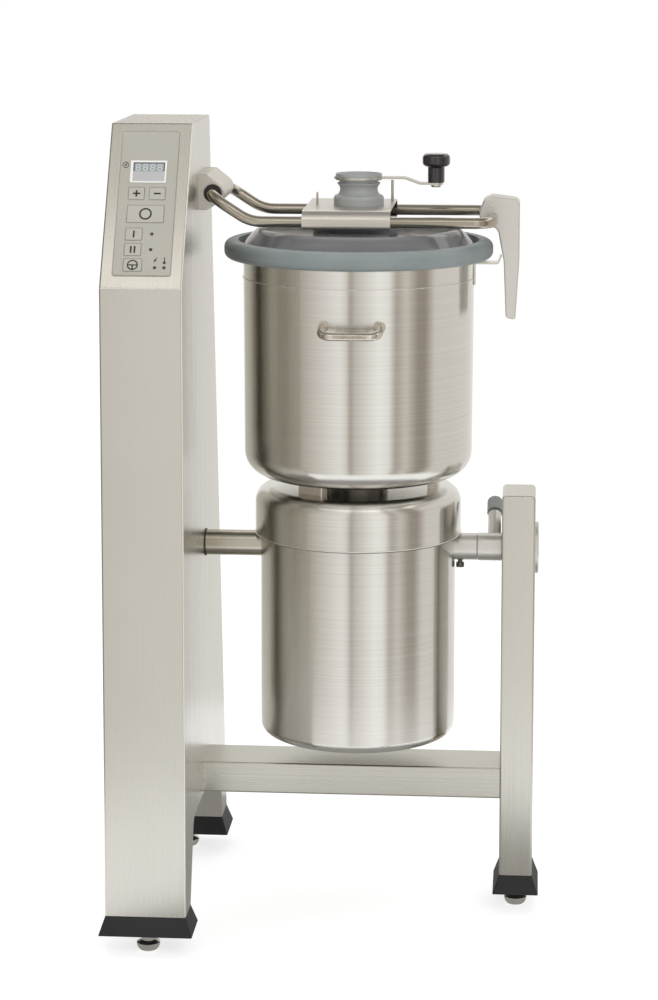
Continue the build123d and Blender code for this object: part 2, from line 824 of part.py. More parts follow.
with BuildPart() as motor_bearings:
    for bearing_z in (lower_bearing_z, upper_bearing_z):
        with BuildSketch(Plane.XY.offset(bearing_z)):
            with Locations((mixer_x, 0)):
                Circle(bearing_radius)
                Circle(shaft_radius + running_fit, mode=Mode.SUBTRACT)
        extrude(amount=bearing_width)
keep(motor_bearings, "motor_bearings")

# Stator: a laminated stack with its winding heads
with BuildPart() as motor_stator:
    with BuildSketch(Plane.XY.offset(stator_bottom_z)):
        with Locations((mixer_x, 0)):
            Circle(shell_inner - face_gap)
            Circle(stator_bore_radius, mode=Mode.SUBTRACT)
    extrude(amount=stator_length)
    for head_z in (stator_bottom_z - winding_height, stator_bottom_z + stator_length):
        with BuildSketch(Plane.XY.offset(head_z)):
            with Locations((mixer_x, 0)):
                Circle(stator_bore_radius + winding_setback + winding_thickness)
                Circle(stator_bore_radius + winding_setback, mode=Mode.SUBTRACT)
        extrude(amount=winding_height)
keep(motor_stator, "motor_stator")

# Motor cap: a spun steel hood over the top of the shell, with a rounded shoulder
shoulder_z = cap_top_z - cap_shoulder
shoulder_radius = cap_radius - cap_shoulder
cap_hole_radius = upper_neck_radius + face_gap
with BuildPart() as motor_cap:
    with BuildSketch(mixer_section):
        with BuildLine():
            Polyline(
                (cap_hole_radius, cap_top_z - cap_wall),
                (cap_hole_radius, cap_top_z),
                (shoulder_radius, cap_top_z),
            )
            RadiusArc((shoulder_radius, cap_top_z), (cap_radius, shoulder_z), cap_shoulder)
            Polyline(
                (cap_radius, shoulder_z),
                (cap_radius, cap_bottom_z),
                (motor_radius + face_gap, cap_bottom_z),
                (motor_radius + face_gap, cap_bottom_z + cap_wall),
                (cap_radius - cap_wall, cap_bottom_z + cap_wall),
                (cap_radius - cap_wall, shoulder_z),
            )
            RadiusArc(
                (cap_radius - cap_wall, shoulder_z),
                (shoulder_radius, cap_top_z - cap_wall),
                -(cap_shoulder - cap_wall),
            )
            Line((shoulder_radius, cap_top_z - cap_wall), (cap_hole_radius, cap_top_z - cap_wall))
        make_face()
    revolve(axis=mixer_axis)
keep(motor_cap, "motor_cap")

# Left pivot tube: welded to the motor shell, it also leads the motor's wires to the column
with BuildPart() as pivot_tube_left:
    with BuildSketch(Plane.YZ.offset(column_face_x - pivot_tube_in_column)):
        with Locations((0, pivot_z)):
            Circle(pivot_tube_radius)
            Circle(pivot_tube_radius - pivot_tube_wall, mode=Mode.SUBTRACT)
    extrude(amount=axis_to_column + pivot_tube_in_column - motor_radius / 2)
    with BuildSketch(Plane.XY.offset(pivot_z - 2 * pivot_tube_radius)):
        with Locations((mixer_x, 0)):
            Circle(motor_radius)
    extrude(amount=4 * pivot_tube_radius, mode=Mode.SUBTRACT)
keep(pivot_tube_left, "pivot_tube_left")

# Right pivot hub: a short boss on the motor shell, bored for the axle
with BuildPart() as pivot_hub_right:
    with BuildSketch(Plane.YZ.offset(mixer_x + motor_radius / 2)):
        with Locations((0, pivot_z)):
            Circle(small_hub_radius)
    extrude(amount=hub_outer_x - mixer_x - motor_radius / 2)
    with BuildSketch(Plane.YZ.offset(axle_start_x - face_gap)):
        with Locations((0, pivot_z)):
            Circle(axle_radius + running_fit)
    extrude(amount=axle_depth_in_hub + face_gap, mode=Mode.SUBTRACT)
    with BuildSketch(Plane.XY.offset(pivot_z - 2 * small_hub_radius)):
        with Locations((mixer_x, 0)):
            Circle(motor_radius)
    extrude(amount=4 * small_hub_radius, mode=Mode.SUBTRACT)
    outer_rim = pivot_hub_right.edges().filter_by(GeomType.CIRCLE).group_by(Axis.X)[-1]
    chamfer(outer_rim.sort_by(SortBy.LENGTH)[-1], axle_chamfer)
keep(pivot_hub_right, "pivot_hub_right")

# Clamp screw under the right hub
screw_top_z = pivot_z - small_hub_radius
hub_screw_x = mixer_x + motor_radius + hub_screw_head_radius + hub_screw_margin
with BuildPart() as hub_screw:
    with BuildSketch(Plane.XY.offset(screw_top_z - hub_screw_depth)):
        with Locations((hub_screw_x, 0)):
            Circle(hub_screw_radius)
    extrude(amount=hub_screw_depth)
    with BuildSketch(Plane.XY.offset(screw_top_z - hub_screw_depth - hub_screw_head)):
        with Locations((hub_screw_x, 0)):
            Circle(hub_screw_head_radius)
    extrude(amount=hub_screw_head)
    with BuildSketch(Plane.XY.offset(screw_top_z - hub_screw_depth - hub_screw_head)):
        with Locations((hub_screw_x, 0)):
            RegularPolygon(hub_screw_radius, 6)
    extrude(amount=hub_screw_socket, mode=Mode.SUBTRACT)
    with BuildSketch(Plane.YZ.offset(hub_screw_x - 2 * hub_screw_head_radius)):
        with Locations((0, pivot_z)):
            Circle(small_hub_radius)
    extrude(amount=4 * hub_screw_head_radius, mode=Mode.SUBTRACT)
keep(hub_screw, "hub_screw")

# Bowl supports: three machined lugs between the motor cap and the bowl
with BuildPart() as bowl_supports:
    for turn in range(support_count):
        angle = support_first_angle + turn * 360 / support_count
        support_x = mixer_x + support_radius * cos(radians(angle))
        support_y = support_radius * sin(radians(angle))
        with BuildSketch(Plane.XY.offset(cap_top_z)):
            with Locations(Location((support_x, support_y, 0), (0, 0, angle + 90))):
                RectangleRounded(support_length, support_width, support_corner)
        extrude(amount=bowl_bottom_z - cap_top_z)
keep(bowl_supports, "bowl_supports")

# Bowl: deep-drawn steel, with a rounded bottom edge and a rolled line near its rim
corner_z = bowl_bottom_z + bowl_corner
inner_corner = bowl_corner - bowl_floor
with BuildPart() as bowl:
    with BuildSketch(mixer_section):
        with BuildLine():
            Line((seal_radius, bowl_bottom_z), (bowl_base_radius - bowl_corner, bowl_bottom_z))
            RadiusArc(
                (bowl_base_radius - bowl_corner, bowl_bottom_z),
                (bowl_base_radius, corner_z),
                -bowl_corner,
            )
            Polyline(
                (bowl_base_radius, corner_z),
                (bowl_radius, bowl_rim_z),
                (bowl_radius - bowl_wall, bowl_rim_z),
                (bowl_base_radius - bowl_wall, corner_z),
            )
            RadiusArc(
                (bowl_base_radius - bowl_wall, corner_z),
                (bowl_base_radius - bowl_corner, bowl_bottom_z + bowl_floor),
                inner_corner + (bowl_floor - bowl_wall) / 2,
            )
            Polyline(
                (bowl_base_radius - bowl_corner, bowl_bottom_z + bowl_floor),
                (seal_radius, bowl_bottom_z + bowl_floor),
                (seal_radius, bowl_bottom_z),
            )
        make_face()
    revolve(axis=mixer_axis)
    with BuildSketch(Plane.XY.offset(groove_z - groove_width / 2)):
        with Locations((mixer_x, 0)):
            Circle(bowl_radius + bowl_wall)
            Circle(bowl_radius - groove_depth, mode=Mode.SUBTRACT)
    extrude(amount=groove_width, mode=Mode.SUBTRACT)
keep(bowl, "bowl")

# Shaft seal in the middle of the bowl's floor
with BuildPart() as shaft_seal:
    with BuildSketch(mixer_section):
        with BuildLine():
            Polyline(
                (shaft_radius + running_fit, bowl_bottom_z),
                (seal_radius, bowl_bottom_z),
                (seal_radius, bowl_bottom_z + bowl_floor),
                (seal_radius + seal_flange, bowl_bottom_z + bowl_floor),
                (seal_radius + seal_flange, bowl_bottom_z + bowl_floor + seal_flange_height),
                (seal_radius - seal_edge, bowl_bottom_z + bowl_floor + seal_height),
                (shaft_radius + running_fit, bowl_bottom_z + bowl_floor + seal_height),
                close=True,
            )
        make_face()
    revolve(axis=mixer_axis)
keep(shaft_seal, "shaft_seal")

# Bowl handles: bent bars on round pads, one in front and one behind
handle_run_in = 3 * handle_bar_radius
handle_slope = handle_droop / handle_reach
bowl_solid = [
    (0, bowl_bottom_z), (bowl_base_radius, bowl_bottom_z),
    (bowl_base_radius, bowl_bottom_z + bowl_corner), (bowl_radius, bowl_rim_z), (0, bowl_rim_z),
]
pad_face_reach = (bowl_radius ** 2 - handle_half_width ** 2) ** 0.5 + handle_pad_length
with BuildPart() as bowl_handles:
    for side in (-1, 1):
        inner_y = side * (bowl_radius - handle_run_in)
        inner_z = handle_wall_z + handle_slope * handle_run_in
        outer_y = side * (bowl_radius + handle_reach)
        outer_z = handle_wall_z - handle_droop
        with BuildLine() as handle_path:
            FilletPolyline(
                (mixer_x - handle_half_width, inner_y, inner_z),
                (mixer_x - handle_half_width, outer_y, outer_z),
                (mixer_x + handle_half_width, outer_y, outer_z),
                (mixer_x + handle_half_width, inner_y, inner_z),
                radius=handle_bend,
            )
        with BuildSketch(Plane(handle_path.wire() @ 0, z_dir=handle_path.wire() % 0)):
            Circle(handle_bar_radius)
        sweep(path=handle_path.wire())
        with BuildSketch(Plane(origin=(mixer_x, inner_y, handle_wall_z), x_dir=(1, 0, 0), z_dir=(0, side, 0))):
            with GridLocations(2 * handle_half_width, 1, 2, 1):
                Circle(handle_pad_radius)
        extrude(amount=pad_face_reach - bowl_radius + handle_run_in)
    with BuildSketch(mixer_section):
        with BuildLine():
            Polyline(*bowl_solid, close=True)
        make_face()
    revolve(axis=mixer_axis, mode=Mode.SUBTRACT)
keep(bowl_handles, "bowl_handles")

# Latch catch: a bent strip on the bowl's side, with its end turned up towards the lever
catch_inner = bowl_radius - catch_seat_depth
catch_tip = bowl_radius + catch_tip_reach
with BuildPart() as latch_catch:
    with BuildSketch(mixer_section) as catch_side:
        with BuildLine():
            FilletPolyline(
                (catch_inner, catch_bottom_z - catch_leg_down),
                (catch_inner, catch_bottom_z + catch_bar),
                (catch_tip - catch_bar - catch_tip_run, catch_bottom_z + catch_bar),
                (catch_tip - catch_bar, catch_tip_z),
                radius=catch_bend,
            )
            offset(amount=catch_bar, side=Side.RIGHT)
        make_face()
    extrude(amount=catch_width / 2, both=True)
    with BuildSketch(mixer_section):
        with BuildLine():
            Polyline(*bowl_solid, close=True)
        make_face()
    revolve(axis=mixer_axis, mode=Mode.SUBTRACT)
keep(latch_catch, "latch_catch")

# Drive shaft: one stepped shaft from the lower bearing up to the blades
with BuildPart() as drive_shaft:
    with BuildSketch(Plane.XY.offset(shaft_bottom_z)):
        with Locations((mixer_x, 0)):
            Circle(shaft_radius)
    extrude(amount=hub_top_z + shaft_in_nut - shaft_bottom_z)
    chamfer(drive_shaft.edges().filter_by(GeomType.CIRCLE), shaft_chamfer)
keep(drive_shaft, "drive_shaft")

rotor_length = stator_length - 2 * rotor_end_ring
with BuildPart() as motor_rotor:
    with BuildSketch(Plane.XY.offset(stator_bottom_z + rotor_end_ring)):
        with Locations((mixer_x, 0)):
            Circle(stator_bore_radius - air_gap)
            Circle(shaft_radius, mode=Mode.SUBTRACT)
    extrude(amount=rotor_length)
    for ring_z in (stator_bottom_z, stator_bottom_z + stator_length - rotor_end_ring):
        with BuildSketch(Plane.XY.offset(ring_z)):
            with Locations((mixer_x, 0)):
                Circle(stator_bore_radius - winding_setback)
                Circle(stator_bore_radius - winding_setback - rotor_ring_width, mode=Mode.SUBTRACT)
        extrude(amount=rotor_end_ring)
keep(motor_rotor, "motor_rotor")

# Blade hub: stacked spacers that hold the three blades on the shaft
with BuildPart() as blade_hub:
    with BuildSketch(Plane.XY.offset(blade_hub_bottom_z)):
        with Locations((mixer_x, 0)):
            Circle(blade_hub_radius)
            Circle(shaft_radius, mode=Mode.SUBTRACT)
    extrude(amount=hub_top_z - blade_hub_bottom_z)
    for level in blade_levels:
        with BuildSketch(Plane.XY.offset(level)):
            with Locations((mixer_x, 0)):
                Circle(blade_hub_radius + face_gap)
                Circle(blade_spacer_radius, mode=Mode.SUBTRACT)
        extrude(amount=blade_thickness, mode=Mode.SUBTRACT)
keep(blade_hub, "blade_hub")

# Blades: three like two-winged sickle knives on the hub, each turned on from the one below
tip_angle = radians(blade_sweep)
tip = (blade_reach * cos(tip_angle), blade_reach * sin(tip_angle))
lead_angle = tip_angle * blade_lead_share
lead_reach = blade_reach - blade_lead_inset
lead_mid = (lead_reach * cos(lead_angle), lead_reach * sin(lead_angle))
trail_angle = tip_angle * blade_trail_share
trail_reach = blade_reach - blade_trail_inset
trail_mid = (trail_reach * cos(trail_angle), trail_reach * sin(trail_angle))
root_half = blade_root_width / 2
with BuildPart() as cutting_blades:
    for level, turn in zip(blade_levels, blade_turns):
        across = (cos(radians(turn)), sin(radians(turn)), 0)
        with BuildSketch(Plane(origin=(mixer_x, 0, level), x_dir=across, z_dir=(0, 0, 1))) as blade_outline:
            with BuildLine():
                ThreePointArc((0, -root_half), lead_mid, tip)
                ThreePointArc(tip, trail_mid, (0, root_half))
                Line((0, root_half), (0, -root_half))
            make_face()
            add(blade_outline.sketch_local, rotation=180)
            Circle(blade_hub_radius + blade_hub_margin)
            Circle(blade_spacer_radius, mode=Mode.SUBTRACT)
        extrude(amount=blade_thickness)
keep(cutting_blades, "cutting_blades")

with BuildPart() as blade_nut:
    with BuildSketch(Plane.XY.offset(hub_top_z)):
        with Locations((mixer_x, 0)):
            RegularPolygon(nut_radius + nut_skirt, nut_flats)
    extrude(amount=nut_height)
    with BuildSketch(Plane.XY.offset(hub_top_z + nut_height)):
        with Locations((mixer_x, 0)):
            Circle(nut_radius)
    extrude(amount=nut_cone, taper=nut_cone_taper)
    with BuildSketch(Plane.XY.offset(hub_top_z)):
        with Locations((mixer_x, 0)):
            Circle(shaft_radius)
    extrude(amount=shaft_in_nut, mode=Mode.SUBTRACT)
keep(blade_nut, "blade_nut")

# Hinge block: a cast block on the column's side that carries both tube ends
with BuildPart() as hinge_block:
    with BuildSketch(Plane.XZ) as block_side:
        with BuildLine():
            Line((column_face_x, hinge_block_bottom_z), (column_face_x, hinge_block_top_z))
            Line((column_face_x, hinge_block_top_z), (column_face_x + hinge_block_flat, hinge_block_top_z))
            Line((column_face_x, hinge_block_bottom_z), (column_face_x + hinge_block_flat, hinge_block_bottom_z))
            CenterArc((hinge_x, hinge_z), hinge_nose_radius, 0, 360)
        make_hull()
    extrude(amount=hinge_block_half, both=True)
    long_edges = hinge_block.edges().filter_by(Axis.Y).filter_by_position(
        Axis.X, column_face_x + 1, hinge_x + hinge_nose_radius)
    fillet(long_edges, hinge_block_corner)
    end_faces = hinge_block.faces().filter_by(Axis.Y)
    fillet(end_faces.edges().filter_by_position(Axis.X, column_face_x + 0.5, mixer_x), hinge_block_corner / 2)
    with BuildSketch(Plane.XZ):
        with Locations((hinge_x, hinge_z)):
            Circle(arm_tube_radius + running_fit)
    extrude(amount=hinge_block_half, both=True, mode=Mode.SUBTRACT)
    for side in (-1, 1):
        with BuildSketch(Plane(origin=(hinge_x, side * hinge_block_half, hinge_z),
                               x_dir=(1, 0, 0), z_dir=(0, -side, 0))):
            Circle(arm_tube_radius + hinge_bush_wall)
        extrude(amount=hinge_bush_length, mode=Mode.SUBTRACT)
keep(hinge_block, "hinge_block")

with BuildPart() as hinge_bushes:
    for side in (-1, 1):
        outer_face = Plane(origin=(hinge_x, side * hinge_block_half, hinge_z), x_dir=(1, 0, 0), z_dir=(0, side, 0))
        with BuildSketch(outer_face):
            Circle(hinge_bush_radius)
        extrude(amount=hinge_bush_flange)
        with BuildSketch(outer_face):
            Circle(arm_tube_radius + hinge_bush_wall)
        extrude(amount=-hinge_bush_length)
        with BuildSketch(outer_face.offset(-hinge_bush_length)):
            Circle(arm_tube_radius + running_fit)
        extrude(amount=hinge_bush_length + hinge_bush_flange, mode=Mode.SUBTRACT)
keep(hinge_bushes, "hinge_bushes")

# Arm tubes: mirror images, from the hinge block down to the level run and into the latch lever
for side, tube_name in ((-1, "arm_tube_front"), (1, "arm_tube_rear")):
    far_y = side * arm_tube_y
    with BuildPart() as arm_tube:
        with BuildLine() as tube_path:
            FilletPolyline(
                (hinge_x, side * tube_end_gap, hinge_z),
                (hinge_x, far_y, hinge_z),
                (mixer_x - arm_knee_to_axis, far_y, arm_z),
                (latch_x, far_y, arm_z),
                (latch_x, side * tube_end_gap, arm_z),
                radius=(hinge_bend, knee_bend, latch_bend),
            )
        with BuildSketch(Plane(tube_path.wire() @ 0, z_dir=tube_path.wire() % 0)):
            Circle(arm_tube_radius)
            Circle(arm_tube_radius - arm_tube_wall, mode=Mode.SUBTRACT)
        sweep(path=tube_path.wire())
    keep(arm_tube, tube_name)

# Bracket: a folded plate whose edges wrap over both tubes
bracket_start_x = mixer_x + bracket_from_axis
bracket_half = arm_tube_y + arm_tube_radius + face_gap
bracket_lip_z = arm_z - arm_tube_radius - face_gap
with BuildPart() as arm_bracket:
    with BuildSketch(Plane.YZ.offset(bracket_start_x)) as bracket_fold:
        with BuildLine():
            FilletPolyline(
                (-bracket_half + bracket_lip, bracket_lip_z),
                (-bracket_half, bracket_lip_z),
                (-bracket_half, bracket_top_z - bracket_sheet),
                (bracket_half, bracket_top_z - bracket_sheet),
                (bracket_half, bracket_lip_z),
                (bracket_half - bracket_lip, bracket_lip_z),
                radius=(bracket_lip_bend, bracket_bend, bracket_bend, bracket_lip_bend),
            )
            offset(amount=bracket_sheet, side=Side.LEFT)
        make_face()
    extrude(amount=bracket_length)
    with BuildSketch(Plane.XY.offset(bracket_top_z - 2 * bracket_sheet)):
        with Locations((mixer_x, 0)):
            Circle(lid_bore_radius)
    extrude(amount=3 * bracket_sheet, mode=Mode.SUBTRACT)
keep(arm_bracket, "arm_bracket")

# Lid pad: the grey gasket block between the bracket and the dome
pad_bottom_z = dome_shoulder_z + dome_thickness
with BuildPart() as lid_pad:
    with BuildSketch(Plane.XY.offset(pad_bottom_z)):
        with Locations((mixer_x, 0)):
            Circle(pad_radius)
            Circle(lid_bore_radius, mode=Mode.SUBTRACT)
    extrude(amount=bracket_lip_z - bracket_sheet - face_gap - pad_bottom_z)
    with BuildSketch(Plane.XY.offset(pad_bottom_z)):
        with Locations((mixer_x, 0)):
            Circle(dome_hole_radius)
            Circle(lid_bore_radius, mode=Mode.SUBTRACT)
    extrude(amount=bracket_top_z - bracket_sheet - pad_bottom_z)
keep(lid_pad, "lid_pad")

# Lid dome: clear plastic, a flat top with a rounded shoulder and a flange in the ring
with BuildPart() as lid_dome:
    with BuildSketch(mixer_section) as dome_section:
        with BuildLine():
            FilletPolyline(
                (ring_seat_radius - face_gap, ring_seat_z),
                (dome_wall_radius, ring_seat_z),
                (dome_shoulder_radius, dome_shoulder_z),
                (lid_bore_radius, dome_shoulder_z),
                radius=(dome_foot_bend, dome_bend),
            )
            offset(amount=dome_thickness, side=Side.RIGHT)
        make_face()
    revolve(axis=mixer_axis)
keep(lid_dome, "lid_dome")

# Lid ring: a soft grey ring that holds the dome and closes on the bowl's rim
ring_inner_radius = bowl_radius - ring_inset
with BuildPart() as lid_ring:
    with BuildSketch(mixer_section) as ring_section:
        with BuildLine():
            Polyline(
                (ring_inner_radius, lid_bottom_z),
                (ring_radius, lid_bottom_z),
                (ring_radius, ring_top_z),
                (dome_wall_radius + ring_lip, ring_top_z),
                (dome_wall_radius + ring_lip, ring_seat_z + dome_thickness + face_gap),
                (ring_seat_radius, ring_seat_z + dome_thickness + face_gap),
                (ring_seat_radius, ring_seat_z - face_gap),
                (ring_inner_radius, ring_seat_z - ring_slope),
                close=True,
            )
        make_face()
        outer_corners = ring_section.vertices().filter_by_position(Axis.X, ring_radius - 1, ring_radius + 1)
        fillet(outer_corners, ring_edge)
    revolve(axis=mixer_axis)
keep(lid_ring, "lid_ring")

# Feed funnel: moulded collar fixed on the bracket
funnel_bore = wiper_tube_radius + tube_clearance
funnel_foot_top = bracket_top_z + funnel_foot_height
with BuildPart() as feed_funnel:
    with BuildSketch(mixer_section):
        with BuildLine():
            Polyline(
                (funnel_bore, bracket_top_z),
                (funnel_foot_radius, bracket_top_z),
                (funnel_foot_radius, funnel_foot_top - funnel_foot_edge),
            )
            RadiusArc(
                (funnel_foot_radius, funnel_foot_top - funnel_foot_edge),
                (funnel_foot_radius - funnel_foot_edge, funnel_foot_top),
                -funnel_foot_edge,
            )
            ThreePointArc(
                (funnel_foot_radius - funnel_foot_edge, funnel_foot_top),
                (funnel_neck_radius, funnel_foot_top + funnel_neck_rise),
                (funnel_lip_radius, funnel_top_z - funnel_lip_edge),
            )
            Polyline(
                (funnel_lip_radius, funnel_top_z - funnel_lip_edge),
                (funnel_lip_radius, funnel_top_z),
                (funnel_bore, funnel_top_z),
                (funnel_bore, bracket_top_z),
            )
        make_face()
    revolve(axis=mixer_axis)
keep(feed_funnel, "feed_funnel")

# Wiper tube: turns in the funnel and carries the crank above and the wiper below
tube_bore = wiper_tube_radius - wiper_tube_wall
crank_bore_radius = wiper_rim_radius - wiper_groove
with BuildPart() as wiper_tube:
    with BuildSketch(mixer_section):
        with BuildLine():
            Polyline(
                (tube_bore, wiper_tube_bottom_z),
                (wiper_tube_radius, wiper_tube_bottom_z),
                (wiper_tube_radius, funnel_top_z + face_gap),
                (wiper_seat_radius, funnel_top_z + face_gap),
                (wiper_seat_radius, crank_ring_z - wiper_ring_edge),
                (wiper_rim_radius, crank_ring_z - wiper_ring_edge),
                (wiper_rim_radius, crank_ring_z),
                (crank_bore_radius, crank_ring_z),
                (crank_bore_radius, crank_ring_z + crank_sheet),
                (wiper_rim_radius, crank_ring_z + crank_sheet),
                (wiper_rim_radius, wiper_rim_top_z),
                (wiper_rim_radius - wiper_rim_wall, wiper_rim_top_z),
                (tube_bore, wiper_flare_z),
                close=True,
            )
        make_face()
    revolve(axis=mixer_axis)
keep(wiper_tube, "wiper_tube")

# Crank: a ring round the wiper tube with a bent strip out to the knob
crank_low_z = crank_ring_z - crank_drop
with BuildPart() as crank_arm:
    with BuildSketch(mixer_section) as crank_side:
        with BuildLine():
            FilletPolyline(
                (wiper_rim_radius, crank_ring_z),
                (crank_bend_start, crank_ring_z),
                (crank_bend_end, crank_low_z),
                (crank_reach + crank_width / 2, crank_low_z),
                radius=crank_fold,
            )
            offset(amount=crank_sheet, side=Side.LEFT)
        make_face()
    extrude(amount=crank_width / 2, both=True)
    end_edges = crank_arm.edges().filter_by(Axis.Z).filter_by_position(
        Axis.X, mixer_x + crank_reach, mixer_x + crank_reach + crank_width)
    fillet(end_edges, crank_width / 2 - 0.5)
    with BuildSketch(Plane.XY.offset(crank_ring_z)):
        with Locations((mixer_x, 0)):
            Circle(crank_ring_radius)
    extrude(amount=crank_sheet)
    with BuildSketch(Plane.XY.offset(crank_ring_z)):
        with Locations((mixer_x, 0)):
            Circle(crank_bore_radius)
    extrude(amount=crank_sheet, mode=Mode.SUBTRACT)
    with BuildSketch(Plane.XY.offset(crank_low_z)):
        with Locations((mixer_x + crank_reach, 0)):
            Circle(knob_screw_radius)
    extrude(amount=crank_sheet, mode=Mode.SUBTRACT)
keep(crank_arm, "crank_arm")

# Knob screw: a shoulder screw up through the strip, on which the knob turns
knob_x = mixer_x + crank_reach
knob_bottom_z = crank_low_z + crank_sheet + face_gap
knob_section = Plane(origin=(knob_x, 0, 0), x_dir=(1, 0, 0), z_dir=(0, -1, 0))
knob_axis = Axis((knob_x, 0, 0), (0, 0, 1))
knob_top_z = knob_bottom_z + knob_height
knob_head_z = knob_top_z - knob_head_height
knob_bore_top_z = knob_bottom_z + knob_screw_depth + 2 * face_gap
with BuildPart() as knob_screw:
    with BuildSketch(Plane.XY.offset(crank_low_z)):
        with Locations((knob_x, 0)):
            Circle(knob_screw_radius)
    extrude(amount=crank_sheet + face_gap + knob_screw_depth)
    with BuildSketch(Plane.XY.offset(crank_low_z - knob_screw_head_height)):
        with Locations((knob_x, 0)):
            Circle(knob_screw_head)
    extrude(amount=knob_screw_head_height)
    fillet(knob_screw.faces().sort_by(Axis.Z)[0].edges(), knob_screw_edge)
keep(knob_screw, "knob_screw")

with BuildPart() as crank_knob:
    with BuildSketch(knob_section) as knob_profile:
        with BuildLine():
            FilletPolyline(
                (knob_screw_radius + running_fit, knob_bottom_z),
                (knob_neck_radius, knob_bottom_z),
                (knob_neck_radius, knob_head_z),
                (knob_radius, knob_head_z + knob_head_slope),
                (knob_radius, knob_top_z),
                (0, knob_top_z),
                radius=(knob_foot_edge, knob_neck_edge, knob_under_edge, knob_edge),
            )
            Polyline(
                (0, knob_top_z),
                (0, knob_bore_top_z),
                (knob_screw_radius + running_fit, knob_bore_top_z),
                (knob_screw_radius + running_fit, knob_bottom_z),
            )
        make_face()
    revolve(axis=knob_axis)
keep(crank_knob, "crank_knob")

# Wiper arm and its rubber strip under the dome
wiper_arm_top_z = dome_shoulder_z - wiper_blade_gap - wiper_blade_height
wiper_arm_reach = dome_shoulder_radius - wiper_arm_inset
wiper_blade_start = wiper_tube_radius + wiper_arm_hub_wall
wiper_blade_end = wiper_arm_reach - wiper_blade_inset
with BuildPart() as wiper_arm:
    with BuildSketch(Plane.XY.offset(wiper_arm_top_z - wiper_arm_height)):
        with Locations((mixer_x, 0)):
            Circle(wiper_tube_radius + wiper_arm_hub_wall)
            Circle(wiper_tube_radius, mode=Mode.SUBTRACT)
    extrude(amount=wiper_arm_height)
    with BuildSketch(Plane.XY.offset(wiper_arm_top_z - wiper_arm_height)):
        with Locations((mixer_x - (wiper_tube_radius + wiper_arm_reach) / 2, 0)):
            Rectangle(wiper_arm_reach - wiper_tube_radius, wiper_arm_thickness)
    extrude(amount=wiper_arm_height)
keep(wiper_arm, "wiper_arm")

with BuildPart() as wiper_blade:
    with BuildSketch(Plane.XY.offset(wiper_arm_top_z)):
        with Locations((mixer_x - (wiper_blade_start + wiper_blade_end) / 2, 0)):
            Rectangle(wiper_blade_end - wiper_blade_start, wiper_blade_thickness)
    extrude(amount=wiper_blade_height)
keep(wiper_blade, "wiper_blade")

# Latch lever: a cast handle that turns on the tube ends and reaches down outside the catch
lever_outline = [
    (latch_x - latch_head_inner, arm_z + arm_tube_radius),
    (latch_x - arm_tube_radius - 5, arm_z + latch_head_top - 7),
    (latch_x, arm_z + latch_head_top),
    (latch_x + latch_outer - 5, arm_z + latch_head_top - 6),
    (latch_x + latch_outer, arm_z + latch_head_top - 12),
    (latch_x + latch_outer, arm_z - latch_waist_drop),
    (latch_x + latch_tip_outer, arm_z - latch_drop),
    (latch_x + latch_tip_inner, arm_z - latch_drop + 4),
    (latch_x + latch_inner, arm_z - latch_waist_drop),
    (latch_x + arm_tube_radius, arm_z - 2 * arm_tube_radius),
    (latch_x, arm_z - 3 * arm_tube_radius / 2),
    (latch_x - latch_head_inner + 3, arm_z - arm_tube_radius),
]
latch_pin_place = (latch_x, arm_z + latch_pin_rise)
with BuildPart() as latch_lever:
    with BuildSketch(Plane.XZ) as lever_side:
        with BuildLine():
            FilletPolyline(*lever_outline, close=True,
                           radius=(8, 10, 12, 7, 7, 60, 4, 6, 60, 14, 8, 6))
        make_face()
    extrude(amount=latch_half_width, both=True)
    fillet(latch_lever.faces().filter_by(Axis.Y).edges(), latch_edge)
    with BuildSketch(Plane.XZ):
        with Locations((latch_x, arm_z)):
            Circle(arm_tube_radius + running_fit)
        with Locations(latch_pin_place):
            Circle(latch_pin_radius)
    extrude(amount=latch_half_width, both=True, mode=Mode.SUBTRACT)
keep(latch_lever, "latch_lever")

with BuildPart() as latch_pin:
    with BuildSketch(Plane.XZ):
        with Locations(latch_pin_place):
            Circle(latch_pin_radius)
    extrude(amount=latch_half_width + latch_pin_proud, both=True)
keep(latch_pin, "latch_pin")

# Pins on the bracket: a wire loop to the left of the funnel and an upright stop behind it
loop_x = mixer_x + loop_from_axis
stop_x = bracket_start_x + bracket_length - stop_pin_margin
with BuildPart() as bracket_pins:
    with BuildLine() as loop_path:
        FilletPolyline(
            (loop_x, -loop_half_width, bracket_top_z),
            (loop_x, -loop_half_width, bracket_top_z + loop_pin_height),
            (loop_x, loop_half_width, bracket_top_z + loop_pin_height),
            (loop_x, loop_half_width, bracket_top_z),
            radius=loop_half_width - 0.5,
        )
    with BuildSketch(Plane.XY.offset(bracket_top_z)):
        with Locations((loop_x, -loop_half_width)):
            Circle(loop_pin_radius)
    sweep(path=loop_path.wire())
    with BuildSketch(Plane.XY.offset(bracket_top_z)):
        with Locations((stop_x, stop_pin_y)):
            Circle(stop_pin_radius)
    extrude(amount=stop_pin_height)
keep(bracket_pins, "bracket_pins")
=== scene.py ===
"""The looks of a floor-standing tilting cutter mixer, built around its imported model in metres."""
from math import cos, pi, radians, sin

import bpy
import bmesh
from mathutils import Matrix, Vector


